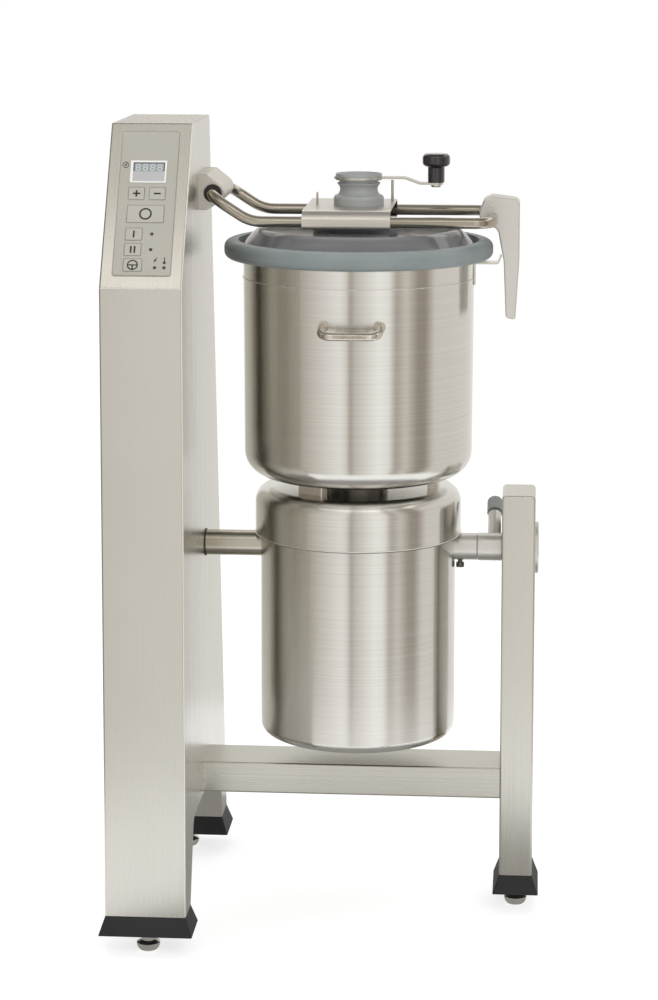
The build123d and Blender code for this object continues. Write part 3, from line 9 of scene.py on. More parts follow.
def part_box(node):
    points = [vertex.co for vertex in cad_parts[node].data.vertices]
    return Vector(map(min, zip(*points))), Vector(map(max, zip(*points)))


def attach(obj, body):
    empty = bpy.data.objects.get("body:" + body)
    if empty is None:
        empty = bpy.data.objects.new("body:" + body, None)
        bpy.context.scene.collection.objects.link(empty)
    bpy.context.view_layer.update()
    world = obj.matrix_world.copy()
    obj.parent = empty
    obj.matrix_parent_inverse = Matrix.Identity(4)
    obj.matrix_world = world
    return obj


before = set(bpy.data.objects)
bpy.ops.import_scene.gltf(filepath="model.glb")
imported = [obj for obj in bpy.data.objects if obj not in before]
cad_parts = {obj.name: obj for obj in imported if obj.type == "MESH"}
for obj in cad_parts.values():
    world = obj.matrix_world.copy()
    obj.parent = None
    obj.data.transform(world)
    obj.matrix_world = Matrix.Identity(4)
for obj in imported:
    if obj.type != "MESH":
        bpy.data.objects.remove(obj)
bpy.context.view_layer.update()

# The column: a folded and welded body of stainless sheet with a ground satin finish,
# closed behind by a screwed cover of the same sheet. The grain runs up the sheet.
sheet_light = (0.65, 0.637, 0.588)
sheet_dark = (0.61, 0.597, 0.548)
sheet_roughness = (0.24, 0.33)
upright_grain = (700.0, 700.0, 2.5)
line_share = 0.55
relief_depth = 0.0002


def blank_material(name):
    """A new material with its nodes, links and shader."""
    material = bpy.data.materials.new(name)
    material.use_nodes = True
    nodes, links = material.node_tree.nodes, material.node_tree.links
    return material, nodes, links, nodes["Principled BSDF"]


def noise_at(nodes, links, scale, detail=3.0, folded=False):
    """Noise in object space, stretched by the three factors of scale. On folded sheet the
    lines across y are kept to the faces that look along x, so that they run up a slope."""
    place = nodes.new("ShaderNodeTexCoord")
    stretch = nodes.new("ShaderNodeMapping")
    stretch.inputs["Scale"].default_value = scale
    links.new(place.outputs["Object"], stretch.inputs["Vector"])
    if folded:
        facing = nodes.new("ShaderNodeSeparateXYZ")
        links.new(place.outputs["Normal"], facing.inputs[0])
        sideways = nodes.new("ShaderNodeMath")
        sideways.operation = "ABSOLUTE"
        links.new(facing.outputs["X"], sideways.inputs[0])
        kept = nodes.new("ShaderNodeCombineXYZ")
        kept.inputs["X"].default_value = kept.inputs["Z"].default_value = 1.0
        links.new(sideways.outputs[0], kept.inputs["Y"])
        folding = nodes.new("ShaderNodeVectorMath")
        folding.operation = "MULTIPLY"
        links.new(stretch.outputs["Vector"], folding.inputs[0])
        links.new(kept.outputs[0], folding.inputs[1])
        stretch = folding
    noise = nodes.new("ShaderNodeTexNoise")
    noise.inputs["Scale"].default_value = 1.0
    noise.inputs["Detail"].default_value = detail
    links.new(stretch.outputs["Vector"], noise.inputs["Vector"])
    return noise.outputs["Fac"]


def spread(nodes, links, value, low, high, start=0.3, end=0.7):
    """Map a noise value between two numbers."""
    span = nodes.new("ShaderNodeMapRange")
    limits = {"From Min": start, "From Max": end, "To Min": low, "To Max": high}
    for socket, number in limits.items():
        span.inputs[socket].default_value = number
    links.new(value, span.inputs["Value"])
    return span.outputs["Result"]


def two_tone(nodes, links, value, dark, light, start=0.3, end=0.7):
    """Blend two colours by a noise value."""
    ramp = nodes.new("ShaderNodeValToRGB")
    ramp.color_ramp.elements[0].position = start
    ramp.color_ramp.elements[0].color = (*dark, 1.0)
    ramp.color_ramp.elements[1].position = end
    ramp.color_ramp.elements[1].color = (*light, 1.0)
    links.new(value, ramp.inputs["Fac"])
    return ramp.outputs["Color"]


def raise_by(nodes, links, shader, value, strength):
    """Press a noise value into the surface as fine relief."""
    bump = nodes.new("ShaderNodeBump")
    bump.inputs["Strength"].default_value = strength
    bump.inputs["Distance"].default_value = relief_depth
    links.new(value, bump.inputs["Height"])
    links.new(bump.outputs["Normal"], shader.inputs["Normal"])


def round_upright(nodes, links, axis_place):
    """The direction round an upright axis, which the brush followed as the piece was turned."""
    place = nodes.new("ShaderNodeTexCoord")
    from_axis = nodes.new("ShaderNodeVectorMath")
    from_axis.operation = "SUBTRACT"
    from_axis.inputs[1].default_value = axis_place
    links.new(place.outputs["Object"], from_axis.inputs[0])
    around = nodes.new("ShaderNodeVectorMath")
    around.operation = "CROSS_PRODUCT"
    around.inputs[0].default_value = (0.0, 0.0, 1.0)
    links.new(from_axis.outputs["Vector"], around.inputs[1])
    carried = nodes.new("ShaderNodeVectorTransform")
    carried.vector_type = "VECTOR"
    carried.convert_from, carried.convert_to = "OBJECT", "WORLD"
    links.new(around.outputs["Vector"], carried.inputs["Vector"])
    return carried.outputs["Vector"]


def ground_steel(
    name,
    dark,
    light,
    grain,
    roughness,
    relief=0.25,
    cloud=9.0,
    anisotropy=0.0,
    stretch_turn=0.0,
    axis_place=None,
    folded=False,
):
    """Stainless steel with fine grinding lines along its grain and faint clouding. Round an
    axis, anisotropy and a turn of it stretch what the steel mirrors."""
    material, nodes, links, shader = blank_material(name)
    lines = noise_at(nodes, links, grain, 6.0, folded)
    clouds = noise_at(nodes, links, (cloud, cloud, cloud * 0.6), 2.0)
    mixed = nodes.new("ShaderNodeMath")
    mixed.operation = "MULTIPLY_ADD"
    mixed.inputs[1].default_value = line_share
    links.new(lines, mixed.inputs[0])
    clouding = nodes.new("ShaderNodeMath")
    clouding.operation = "MULTIPLY"
    clouding.inputs[1].default_value = 1.0 - line_share
    links.new(clouds, clouding.inputs[0])
    links.new(clouding.outputs[0], mixed.inputs[2])
    links.new(two_tone(nodes, links, mixed.outputs[0], dark, light), shader.inputs["Base Color"])
    links.new(spread(nodes, links, lines, *roughness), shader.inputs["Roughness"])
    shader.inputs["Metallic"].default_value = 1.0
    shader.inputs["Anisotropic"].default_value = anisotropy
    shader.inputs["Anisotropic Rotation"].default_value = stretch_turn
    if axis_place is not None:
        links.new(round_upright(nodes, links, axis_place), shader.inputs["Tangent"])
    raise_by(nodes, links, shader, lines, relief)
    return material


def finish_nodes(material, *names):
    """Give CAD nodes their finished material."""
    for name in names:
        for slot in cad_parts[name].material_slots:
            slot.material = material


column_sheet = ground_steel(
    "column_sheet", sheet_dark, sheet_light, upright_grain, sheet_roughness, relief=0.06, folded=True
)
finish_nodes(column_sheet, "column_shell", "column_rear_cover", "right_leg")

# Painted highlights on the column's sheet: narrow bright lines of pale steel across the fold
# under the slope and down the front's right edge, standing in for the light its rounded folds
# catch. The slope rises from slope_foot, the middle of that fold, by slope_rise for each unit of
# height.
fold_height = 1.139
top_front = -0.152
column_low, column_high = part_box("column_shell")
column_middle = (column_low.x + column_high.x) / 2
slope_foot = Vector((column_middle, column_low.y, fold_height))
slope_rise = Vector((0.0, (top_front - column_low.y) / (column_high.z - fold_height), 1.0))
fold_half_width = 0.0008
corner_half_width = 0.0016
highlight_end_gap = 0.0015
corner_inset = 0.0011
corner_end_gap = 0.002
corner_head_gap = 0.004
line_sides = 10
ring_steps = 96


def line_maker(name):
    """A node tree that lays a round line of the given half width along a mesh's edges."""
    tree = bpy.data.node_groups.new(name, "GeometryNodeTree")
    tree.interface.new_socket("Path", in_out="INPUT", socket_type="NodeSocketGeometry")
    half_width = tree.interface.new_socket("Half width", in_out="INPUT", socket_type="NodeSocketFloat")
    finish = tree.interface.new_socket("Finish", in_out="INPUT", socket_type="NodeSocketMaterial")
    tree.interface.new_socket("Line", in_out="OUTPUT", socket_type="NodeSocketGeometry")
    given = tree.nodes.new("NodeGroupInput")
    result = tree.nodes.new("NodeGroupOutput")
    path = tree.nodes.new("GeometryNodeMeshToCurve")
    section = tree.nodes.new("GeometryNodeCurvePrimitiveCircle")
    section.inputs["Resolution"].default_value = line_sides
    swept = tree.nodes.new("GeometryNodeCurveToMesh")
    swept.inputs["Fill Caps"].default_value = True
    real = tree.nodes.new("GeometryNodeRealizeInstances")
    coat = tree.nodes.new("GeometryNodeSetMaterial")
    tree.links.new(given.outputs["Path"], path.inputs["Mesh"])
    tree.links.new(path.outputs["Curve"], swept.inputs["Curve"])
    tree.links.new(given.outputs["Half width"], section.inputs["Radius"])
    tree.links.new(section.outputs["Curve"], swept.inputs["Profile Curve"])
    tree.links.new(swept.outputs["Mesh"], real.inputs["Geometry"])
    tree.links.new(real.outputs["Geometry"], coat.inputs["Geometry"])
    tree.links.new(given.outputs["Finish"], coat.inputs["Material"])
    tree.links.new(coat.outputs["Geometry"], result.inputs["Line"])
    return tree, half_width.identifier, finish.identifier


line_tree, half_width_input, finish_input = line_maker("laid_line")


def laid_line(name, body, material, half_width, path, closed=False):
    """A painted highlight line, scribed line or seam: one round line along a path, as a plain mesh."""
    edges = [(step, step + 1) for step in range(len(path) - 1)]
    if closed:
        edges.append((len(path) - 1, 0))
    route = bpy.data.objects.new(name + "_route", bpy.data.meshes.new(name + "_route"))
    route.data.from_pydata(path, edges, [])
    bpy.context.scene.collection.objects.link(route)
    maker = route.modifiers.new("line", "NODES")
    maker.node_group = line_tree
    maker[half_width_input] = half_width
    maker[finish_input] = material
    solved = route.evaluated_get(bpy.context.evaluated_depsgraph_get())
    mesh = bpy.data.meshes.new_from_object(solved)
    mesh.name = name
    route.modifiers.remove(maker)
    bpy.data.objects.remove(route)
    line = bpy.data.objects.new(name, mesh)
    bpy.context.scene.collection.objects.link(line)
    for face in mesh.polygons:
        face.use_smooth = True
    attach(line, body)


def ring_path(centre, radius):
    """A level circle of points round a centre."""
    turns = [2 * pi * step / ring_steps for step in range(ring_steps)]
    return [centre + Vector((radius * cos(turn), radius * sin(turn), 0.0)) for turn in turns]


even_grain = (20.0, 20.0, 20.0)
# Pale steel for the painted highlight lines, and for the bowl's scribed line.
painted_highlight_and_scribe_steel = ground_steel(
    "painted_highlight_and_scribe_steel", (0.92, 0.91, 0.88), (0.95, 0.94, 0.91), even_grain, (0.40, 0.50), relief=0.02
)
highlight_reach = column_high.x - column_middle - highlight_end_gap
fold_line = [slope_foot + Vector((across, 0.0, 0.0)) for across in (-highlight_reach, 0.0, highlight_reach)]
laid_line("fold_painted_highlight", "frame", painted_highlight_and_scribe_steel, fold_half_width, fold_line)
edge_x = column_high.x - corner_inset
slope_head = slope_foot + slope_rise * (column_high.z - fold_height - corner_head_gap)
corner_line = [
    Vector((edge_x, slope_foot.y + corner_inset, column_low.z + corner_end_gap)),
    Vector((edge_x, slope_foot.y + corner_inset, fold_height)),
    Vector((edge_x, slope_head.y + corner_inset, slope_head.z)),
]
laid_line("corner_painted_highlight", "frame", painted_highlight_and_scribe_steel, corner_half_width, corner_line)

# The cross beam: rectangular tube welded between the column's side and the leg, ground
# along its length.
along_grain = (2.5, 700.0, 700.0)
beam_sheet = ground_steel(
    "beam_sheet", (0.555, 0.541, 0.488), (0.600, 0.586, 0.533), along_grain, sheet_roughness, relief=0.1
)
finish_nodes(beam_sheet, "cross_beam")

# Zinc-plated pan screws hold the rear cover, and a black nylon gland takes the supply
# cable through it.
screw_grain = (60.0, 60.0, 60.0)
screw_steel = ground_steel(
    "screw_steel", (0.38, 0.36, 0.33), (0.55, 0.53, 0.49), screw_grain, (0.28, 0.45)
)
finish_nodes(screw_steel, "rear_cover_screws")


def moulding(name, dark, light, roughness, grain=900.0, relief=0.12, coat=0.0):
    """Moulded plastic or rubber with a fine skin."""
    material, nodes, links, shader = blank_material(name)
    clouds = noise_at(nodes, links, (14.0, 14.0, 14.0), 3.0)
    skin = noise_at(nodes, links, (grain, grain, grain), 2.0)
    links.new(two_tone(nodes, links, clouds, dark, light), shader.inputs["Base Color"])
    links.new(spread(nodes, links, skin, *roughness), shader.inputs["Roughness"])
    shader.inputs["Coat Weight"].default_value = coat
    raise_by(nodes, links, shader, skin, relief)
    return material


black_nylon = moulding("black_nylon", (0.014, 0.014, 0.015), (0.024, 0.024, 0.026), (0.42, 0.56))
finish_nodes(black_nylon, "cable_gland", "hinge_bushes", "pivot_bush_left")

# The feet: flared caps of black rubbery plastic pushed over the tubes' ends, and under
# them domed levelling glides with bright nickel pads.
foot_plastic = moulding("foot_plastic", (0.006, 0.006, 0.008), (0.011, 0.010, 0.013), (0.45, 0.62))
glide_nickel = ground_steel(
    "glide_nickel", (0.62, 0.61, 0.58), (0.80, 0.79, 0.76), (40.0, 40.0, 40.0), (0.14, 0.24)
)
finish_nodes(foot_plastic, "foot_caps")
finish_nodes(glide_nickel, "levelling_glides")

# The control panel: one printed polyester film on a plate, with six keys under it, a
# display module and four indicator lamps, and the finned drive inside the column.
film_grain = 1400.0
film_grey = moulding(
    "film_grey", (0.370, 0.356, 0.308), (0.388, 0.373, 0.324), (0.34, 0.42), film_grain, relief=0.05
)
key_film = moulding(
    "key_film", (0.392, 0.377, 0.328), (0.410, 0.395, 0.344), (0.34, 0.42), film_grain, relief=0.05
)
finish_nodes(film_grey, "control_panel")
finish_nodes(key_film, "key_plus", "key_minus", "key_stop", "key_speed_1", "key_speed_2", "key_pulse")
screen_glass = moulding(
    "screen_glass", (0.42, 0.42, 0.425), (0.45, 0.45, 0.455), (0.20, 0.26), 30.0, relief=0.0
)
finish_nodes(screen_glass, "display_module")
lamp_red = moulding(
    "lamp_red", (0.045, 0.032, 0.026), (0.07, 0.048, 0.04), (0.2, 0.3), 300.0, relief=0.0
)
finish_nodes(lamp_red, "indicator_lamps")
drive_alloy = ground_steel(
    "drive_alloy", (0.34, 0.34, 0.35), (0.42, 0.42, 0.43), (200.0, 200.0, 200.0), (0.4, 0.55)
)
finish_nodes(drive_alloy, "drive_electronics")

# The print on the film: outlines round the keys, plain symbols on them and small icons,
# each a film of ink that rides on what it is printed on. Its sizes are in millimetres,
# across from the slope's middle and up from its foot.
slope_up = slope_rise.normalized()
slope_out = Vector((0.0, -slope_up.z, slope_up.y))
millimetre = 0.001
ink_thickness = 0.12
corner_steps = 6
spot_steps = 36


def spots_on_slope(name):
    """A node's vertices as places across, up and out of the slope, in millimetres."""
    spots = [(vertex.co - slope_foot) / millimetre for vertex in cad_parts[name].data.vertices]
    return [(spot.x, spot.dot(slope_up), spot.dot(slope_out)) for spot in spots]


def outline_on_slope(name):
    """The middle, width and height of a node on the slope, in millimetres."""
    across, up, _ = zip(*spots_on_slope(name))
    middle = (min(across) + max(across)) / 2, (min(up) + max(up)) / 2
    return *middle, max(across) - min(across), max(up) - min(up)


def rounded_box(width, height, radius, across=0.0, up=0.0):
    """The outline of a rectangle with round corners, in millimetres."""
    outline = []
    for quarter, (right, top) in enumerate(((1, 1), (-1, 1), (-1, -1), (1, -1))):
        for step in range(corner_steps + 1):
            turn = pi / 2 * (quarter + step / corner_steps)
            x = right * (width / 2 - radius) + radius * cos(turn)
            y = top * (height / 2 - radius) + radius * sin(turn)
            outline.append((across + x, up + y))
    return outline


def round_spot(radius, across=0.0, up=0.0):
    """The outline of a disc, in millimetres."""
    turns = [2 * pi * step / spot_steps for step in range(spot_steps)]
    return [(across + radius * cos(turn), up + radius * sin(turn)) for turn in turns]


def print_on(name, body, carrier, material, shapes, lift=0.0):
    """Thin closed films of ink on a carrier: each shape is an outline, or an outline and its hole."""
    under = max(out for _, _, out in spots_on_slope(carrier)) + lift
    drawn = bmesh.new()
    for outline, hole in shapes:
        rims = []
        for loop in filter(None, (outline, hole)):
            for level in (under, under + ink_thickness):
                spots = [Vector((x, 0.0, 0.0)) + y * slope_up + level * slope_out for x, y in loop]
                rims.append([drawn.verts.new(slope_foot + millimetre * spot) for spot in spots])
        count = len(outline)
        for n in range(count):
            m = (n + 1) % count
            drawn.faces.new((rims[0][n], rims[0][m], rims[1][m], rims[1][n]))
            if hole:
                drawn.faces.new((rims[2][m], rims[2][n], rims[3][n], rims[3][m]))
                drawn.faces.new((rims[1][n], rims[1][m], rims[3][m], rims[3][n]))
                drawn.faces.new((rims[0][m], rims[0][n], rims[2][n], rims[2][m]))
        if not hole:
            drawn.faces.new(rims[1])
            drawn.faces.new(rims[0][::-1])
    mesh = bpy.data.meshes.new(name)
    drawn.to_mesh(mesh)
    drawn.free()
    print_piece = bpy.data.objects.new(name, mesh)
    mesh.materials.append(material)
    bpy.context.scene.collection.objects.link(print_piece)
    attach(print_piece, body)


def band(width, height, radius, line, across, up):
    """A closed line of even width along a rounded rectangle."""
    inner_radius = max(radius - line, 0.2)
    outer = rounded_box(width, height, radius, across, up)
    return outer, rounded_box(width - 2 * line, height - 2 * line, inner_radius, across, up)


ink_grain, ink_relief = 1200.0, 0.03
ink_dark = moulding(
    "ink_dark", (0.020, 0.017, 0.014), (0.032, 0.028, 0.022), (0.5, 0.6), ink_grain, ink_relief
)
ink_pale = moulding(
    "ink_pale", (0.21, 0.20, 0.17), (0.25, 0.24, 0.205), (0.4, 0.5), ink_grain, ink_relief
)
ink_white = moulding(
    "ink_white", (0.72, 0.71, 0.68), (0.76, 0.75, 0.72), (0.25, 0.35), ink_grain, ink_relief
)
stroke = 2.9
stroke_corner = 0.3
# Each key's strokes by width, height and place from the key's middle, and its ring by
# radius and line width
symbols = {
    "key_plus": [(12.0, stroke, 0.0, 0.0), (stroke, 12.0, 0.0, 0.0)],
    "key_minus": [(11.5, stroke, 0.0, 0.0)],
    "key_stop": [],
    "key_speed_1": [(stroke, 12.5, 0.0, 0.0)],
    "key_speed_2": [(stroke, 12.5, -3.1, 0.0), (stroke, 12.5, 3.1, 0.0)],
    "key_pulse": [(14.6, 2.0, 0.0, 0.0), (2.4, 7.6, 0.0, -4.2)],
}
rings = {"key_stop": (10.8, stroke), "key_pulse": (9.2, 2.1)}
outline_gap, outline_corner, outline_line = 1.45, 2.4, 1.0
outlines = []
for key, strokes in symbols.items():
    across, up, width, height = outline_on_slope(key)
    marks = [(rounded_box(w, h, stroke_corner, across + x, up + y), None) for w, h, x, y in strokes]
    if key in rings:
        radius, line = rings[key]
        marks.append((round_spot(radius, across, up), round_spot(radius - line, across, up)))
    print_on(key + "_symbol", key, key, ink_dark, marks)
    wide, high = width + 2 * outline_gap, height + 2 * outline_gap
    outlines.append(band(wide, high, outline_corner, outline_line, across, up))
panel_across, panel_up, panel_width, panel_height = outline_on_slope("control_panel")
rim_inset, rim_corner, rim_line = 0.5, 5.5, 0.9
rim_width, rim_height = panel_width - 2 * rim_inset, panel_height - 2 * rim_inset
outlines.append(band(rim_width, rim_height, rim_corner, rim_line, panel_across, panel_up))
print_on("key_outlines", "frame", "control_panel", ink_pale, outlines)
clock_place = (-39.0, 225.0)
clock_marks = [
    (round_spot(5.6, *clock_place), round_spot(4.5, *clock_place)),
    (round_spot(1.7, *clock_place), None),
    ([(-39.4, 225.6), (-38.6, 224.6), (-35.9, 228.3), (-36.4, 228.8)], None),
]
print_on("clock_icon", "frame", "control_panel", ink_dark, clock_marks)
lightning = [
    (23.2, 54.6), (18.4, 49.2), (21.2, 49.6), (18.2, 44.6), (24.6, 50.6), (21.8, 50.4), (25.4, 55.2)
]
warning_marks = [
    (lightning, None),
    (rounded_box(1.5, 9.0, 0.7, 37.0, 51.6), None),
    (round_spot(2.5, 37.0, 46.0), None),
]
lamp_places = ((13.0, 98.0), (13.0, 69.7), (21.5, 37.0), (37.0, 37.0))
lamp_surround, lamp_window = 2.9, 1.2
for place in lamp_places:
    warning_marks.append((round_spot(lamp_surround, *place), round_spot(lamp_window, *place)))
print_on("warning_icons", "frame", "control_panel", ink_dark, warning_marks)

# The display: a moulded white frame round a liquid-crystal glass, whose upper band holds
# four seven-bar digits.
screen_up = 212.5
window_across, window_up = 0.6, screen_up + 8.6
window_width, window_height = 53.0, 16.4
crystal_lift = 0.1
bezel_outer = rounded_box(61.0, 41.0, 1.6, 0.0, screen_up)
bezel_inner = rounded_box(53.5, 35.0, 0.6, window_across, screen_up - 0.4)
bezel = [(bezel_outer, bezel_inner)]
print_on("display_bezel", "frame", "display_module", ink_white, bezel)


def crystal(name, dark, light):
    """Smooth liquid-crystal glass of one tone."""
    return moulding(name, dark, light, (0.12, 0.2), 200.0, relief=0.0)


def screen_print(name, tone, shapes, lift=0.0):
    """Part of the display's picture, in its own layer on the screen."""
    whole = [(shape, None) for shape in shapes]
    print_on(name, "frame", "display_module", tone, whole, lift)


crystal_grey = crystal("crystal_grey", (0.27, 0.30, 0.31), (0.31, 0.34, 0.35))
crystal_edge = crystal("crystal_edge", (0.10, 0.11, 0.115), (0.13, 0.14, 0.145))
crystal_pale = crystal("crystal_pale", (0.50, 0.53, 0.53), (0.56, 0.59, 0.59))
window = rounded_box(window_width, window_height, 0.4, window_across, window_up)
screen_print("display_window", crystal_grey, [window])
edge_rows = [
    (window_width, 2.2, window_across, window_up + 7.3),
    (2.0, 16.0, window_across - 25.5, window_up),
    (2.0, 16.0, window_across + 25.5, window_up),
]
edges = [rounded_box(width, height, 0.2, x, y) for width, height, x, y in edge_rows]
screen_print("display_window_edge", crystal_edge, edges, crystal_lift)
digit_count, digit_step, first_digit = 4, 12.1, -17.6
bar, bar_high, bar_wide, bar_corner = 1.7, 5.0, 5.4, 0.5
digit_up = window_up - 0.8
bars = []
for number in range(digit_count):
    across = first_digit + digit_step * number
    for rise in (-bar_high - 0.3, 0.0, bar_high + 0.3):
        bars.append(rounded_box(bar_wide, bar, bar_corner, across, digit_up + rise))
    for side in (-1, 1):
        beside = across + side * (bar_wide / 2 + 0.5)
        for rise in (-bar_high / 2 - 0.15, bar_high / 2 + 0.15):
            bars.append(rounded_box(bar, bar_high - 1.0, bar_corner, beside, digit_up + rise))
screen_print("display_digits", crystal_pale, bars, crystal_lift)

# The tilting pivot: a thick tube on the left and a turned hub on the right, welded to the
# motor, a blackened screw in the hub, and a clamping lever that locks the tilt.
turned_about_x = (900.0, 8.0, 8.0)
pivot_steel = ground_steel(
    "pivot_steel", (0.47, 0.44, 0.375), (0.53, 0.50, 0.43), turned_about_x, (0.20, 0.26), relief=0.05
)
dark_screw_steel = ground_steel(
    "dark_screw_steel", (0.13, 0.12, 0.105), (0.19, 0.18, 0.16), screw_grain, (0.28, 0.45)
)
satin_steel = ground_steel(
    "satin_steel", (0.66, 0.65, 0.62), (0.78, 0.77, 0.74), turned_about_x, (0.34, 0.46)
)
finish_nodes(pivot_steel, "pivot_tube_left")
finish_nodes(satin_steel, "pivot_hub_right", "pivot_axle", "lock_lever")
finish_nodes(dark_screw_steel, "hub_screw")
grip_plastic = moulding("grip_plastic", (0.30, 0.31, 0.31), (0.36, 0.37, 0.37), (0.4, 0.5))
finish_nodes(grip_plastic, "lock_grip")

# The motor: a deep-drawn can under a drawn cap, both turned and brushed round their axis,
# with the cast end plates, bearings, stator and rotor inside.
turned_grain = (1.5, 1.5, 620.0)
vessel_dark = (0.66, 0.65, 0.615)
vessel_light = (0.79, 0.78, 0.75)
cap_low, cap_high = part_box("motor_cap")
mixer_axis = Vector(((cap_low.x + cap_high.x) / 2, 0.0, 0.0))
cap_radius = (cap_high.x - cap_low.x) / 2


def turned_steel(name, roughness, relief):
    """Steel brushed round the mixer's axis, which draws what it mirrors out into bands."""
    return ground_steel(
        name,
        vessel_dark,
        vessel_light,
        turned_grain,
        roughness,
        relief=relief,
        cloud=3.0,
        anisotropy=0.85,
        stretch_turn=0.25,
        axis_place=mixer_axis,
    )


def ring_line(name, material, half_width, radius, height):
    """A fine line round the vessels."""
    path = ring_path(mixer_axis + Vector((0.0, 0.0, height)), radius)
    laid_line(name, "motor_and_bowl", material, half_width, path, closed=True)


can_steel = turned_steel("can_steel", (0.17, 0.22), 0.08)
finish_nodes(can_steel, "motor_housing", "motor_cap")
seam_dark = moulding("seam_dark", (0.16, 0.15, 0.13), (0.20, 0.19, 0.165), (0.5, 0.6))
# A painted highlight round the cap's lower edge, as a bright line of pale steel, and a dark line under
# it at the seam.
edge_half_width, edge_proud, edge_rise = 0.0007, 0.0002, 0.0012
seam_half_width, seam_inset, seam_drop = 0.0008, 0.0008, 0.0007
edge_radius, edge_height = cap_radius + edge_proud, cap_low.z + edge_rise
seam_radius, seam_height = cap_radius - seam_inset, cap_low.z - seam_drop
ring_line("cap_edge", painted_highlight_and_scribe_steel, edge_half_width, edge_radius, edge_height)
ring_line("cap_seam", seam_dark, seam_half_width, seam_radius, seam_height)
cast_alloy = ground_steel(
    "cast_alloy", (0.30, 0.28, 0.25), (0.42, 0.40, 0.36), (90.0, 90.0, 90.0), (0.38, 0.55)
)
finish_nodes(cast_alloy, "motor_upper_plate", "motor_bottom_cover")
core_iron = ground_steel("core_iron", (0.16, 0.15, 0.15), (0.24, 0.23, 0.23), turned_grain, (0.4, 0.6))
finish_nodes(core_iron, "motor_stator", "motor_rotor", "motor_bearings")

# The bowl: a deep-drawn stainless vessel, brushed round its axis, with a scribed ring
# under its rim, two bent bar handles and three feet welded on.
bowl_steel = turned_steel("bowl_steel", (0.14, 0.19), 0.06)
finish_nodes(bowl_steel, "bowl")
bowl_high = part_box("bowl")[1]
scribe_half_width, scribe_proud, scribe_below_rim = 0.0006, 0.0004, 0.031
scribe_radius = bowl_high.x - mixer_axis.x + scribe_proud
scribe_height = bowl_high.z - scribe_below_rim
ring_line("scribed_line", painted_highlight_and_scribe_steel, scribe_half_width, scribe_radius, scribe_height)
rod_steel = ground_steel(
    "rod_steel", (0.60, 0.56, 0.50), (0.74, 0.71, 0.65), (120.0, 120.0, 120.0), (0.14, 0.24)
)
finish_nodes(rod_steel, "bowl_handles", "bowl_supports", "latch_catch")
seal_rubber = moulding("seal_rubber", (0.10, 0.10, 0.10), (0.14, 0.14, 0.14), (0.5, 0.65))
finish_nodes(seal_rubber, "shaft_seal")

# The spindle: a ground shaft with its hub and nut, and sickle blades polished to their
# edge.
spindle_steel = ground_steel(
    "spindle_steel", (0.60, 0.59, 0.57), (0.74, 0.73, 0.71), turned_grain, (0.16, 0.26)
)
finish_nodes(spindle_steel, "drive_shaft", "blade_hub", "blade_nut")
blade_steel = ground_steel(
    "blade_steel", (0.62, 0.61, 0.59), (0.78, 0.77, 0.75), (40.0, 500.0, 40.0), (0.12, 0.22)
)
finish_nodes(blade_steel, "cutting_blades")

# The hinge block: a stainless casting bolted to the column, bead blasted, with black
# bushes for the arm tubes' ends.
blasted_grain = (420.0, 420.0, 420.0)
blasted_warm = ground_steel(
    "blasted_warm", (0.68, 0.655, 0.615), (0.75, 0.725, 0.685), blasted_grain, (0.42, 0.54)
)
finish_nodes(blasted_warm, "hinge_block")

# The lid arm: two bent stainless tubes with a satin finish, and the folded plate that
# clamps the lid under them.
tube_steel = ground_steel(
    "tube_steel", (0.40, 0.365, 0.305), (0.47, 0.435, 0.37), along_grain, (0.17, 0.23), relief=0.04
)
finish_nodes(tube_steel, "arm_tube_front", "arm_tube_rear")
plate_steel = ground_steel(
    "plate_steel", (0.62, 0.60, 0.55), (0.72, 0.70, 0.66), along_grain, (0.28, 0.38)
)
finish_nodes(plate_steel, "arm_bracket", "crank_arm")
finish_nodes(rod_steel, "bracket_pins")

# The lid: a clear smoky dome in a moulded grey rim, with a grey pad and the feed funnel
# screwed down on it.
ring_plastic = moulding("ring_plastic", (0.19, 0.22, 0.22), (0.225, 0.257, 0.257), (0.40, 0.50))
finish_nodes(ring_plastic, "lid_ring")
pad_plastic = moulding("pad_plastic", (0.15, 0.17, 0.175), (0.19, 0.21, 0.215), (0.4, 0.5))
finish_nodes(pad_plastic, "lid_pad")
funnel_plastic = moulding("funnel_plastic", (0.30, 0.312, 0.305), (0.34, 0.352, 0.345), (0.36, 0.46))
finish_nodes(funnel_plastic, "feed_funnel")
lid_clear, nodes, links, shader = blank_material("lid_clear")
shader.inputs["Base Color"].default_value = (0.31, 0.31, 0.32, 1.0)
shader.inputs["Transmission Weight"].default_value = 0.6
shader.inputs["IOR"].default_value = 1.49
haze = noise_at(nodes, links, (30.0, 30.0, 30.0), 4.0)
links.new(spread(nodes, links, haze, 0.06, 0.13), shader.inputs["Roughness"])
finish_nodes(lid_clear, "lid_dome")

# The wiper: a tube through the lid with a flared rim, turned by the crank with its black
# knob, and an arm with a rubber blade inside the bowl.
finish_nodes(funnel_plastic, "wiper_tube", "wiper_arm")
finish_nodes(seal_rubber, "wiper_blade")
knob_plastic = moulding(
    "knob_plastic", (0.010, 0.008, 0.011), (0.016, 0.013, 0.017), (0.12, 0.20), 500.0, 0.02, coat=0.6
)
finish_nodes(knob_plastic, "crank_knob")
finish_nodes(glide_nickel, "knob_screw")

# The latch lever: a stainless casting, bead blasted, that turns on a pin through the
# arm's ends and hooks under the catch on the bowl.
blasted_light = ground_steel(
    "blasted_light", (0.72, 0.71, 0.68), (0.80, 0.79, 0.765), blasted_grain, (0.46, 0.58)
)
finish_nodes(blasted_light, "latch_lever")
finish_nodes(rod_steel, "latch_pin")

# The studio: a white floor and surround, and three soft lamps. Seen directly, the floor is
# white with a faint shadow; it lights the machine as a plain white floor.
half_floor = 20.0
own_white = 0.70
ambient = 0.62
white = (1.0, 1.0, 1.0, 1.0)


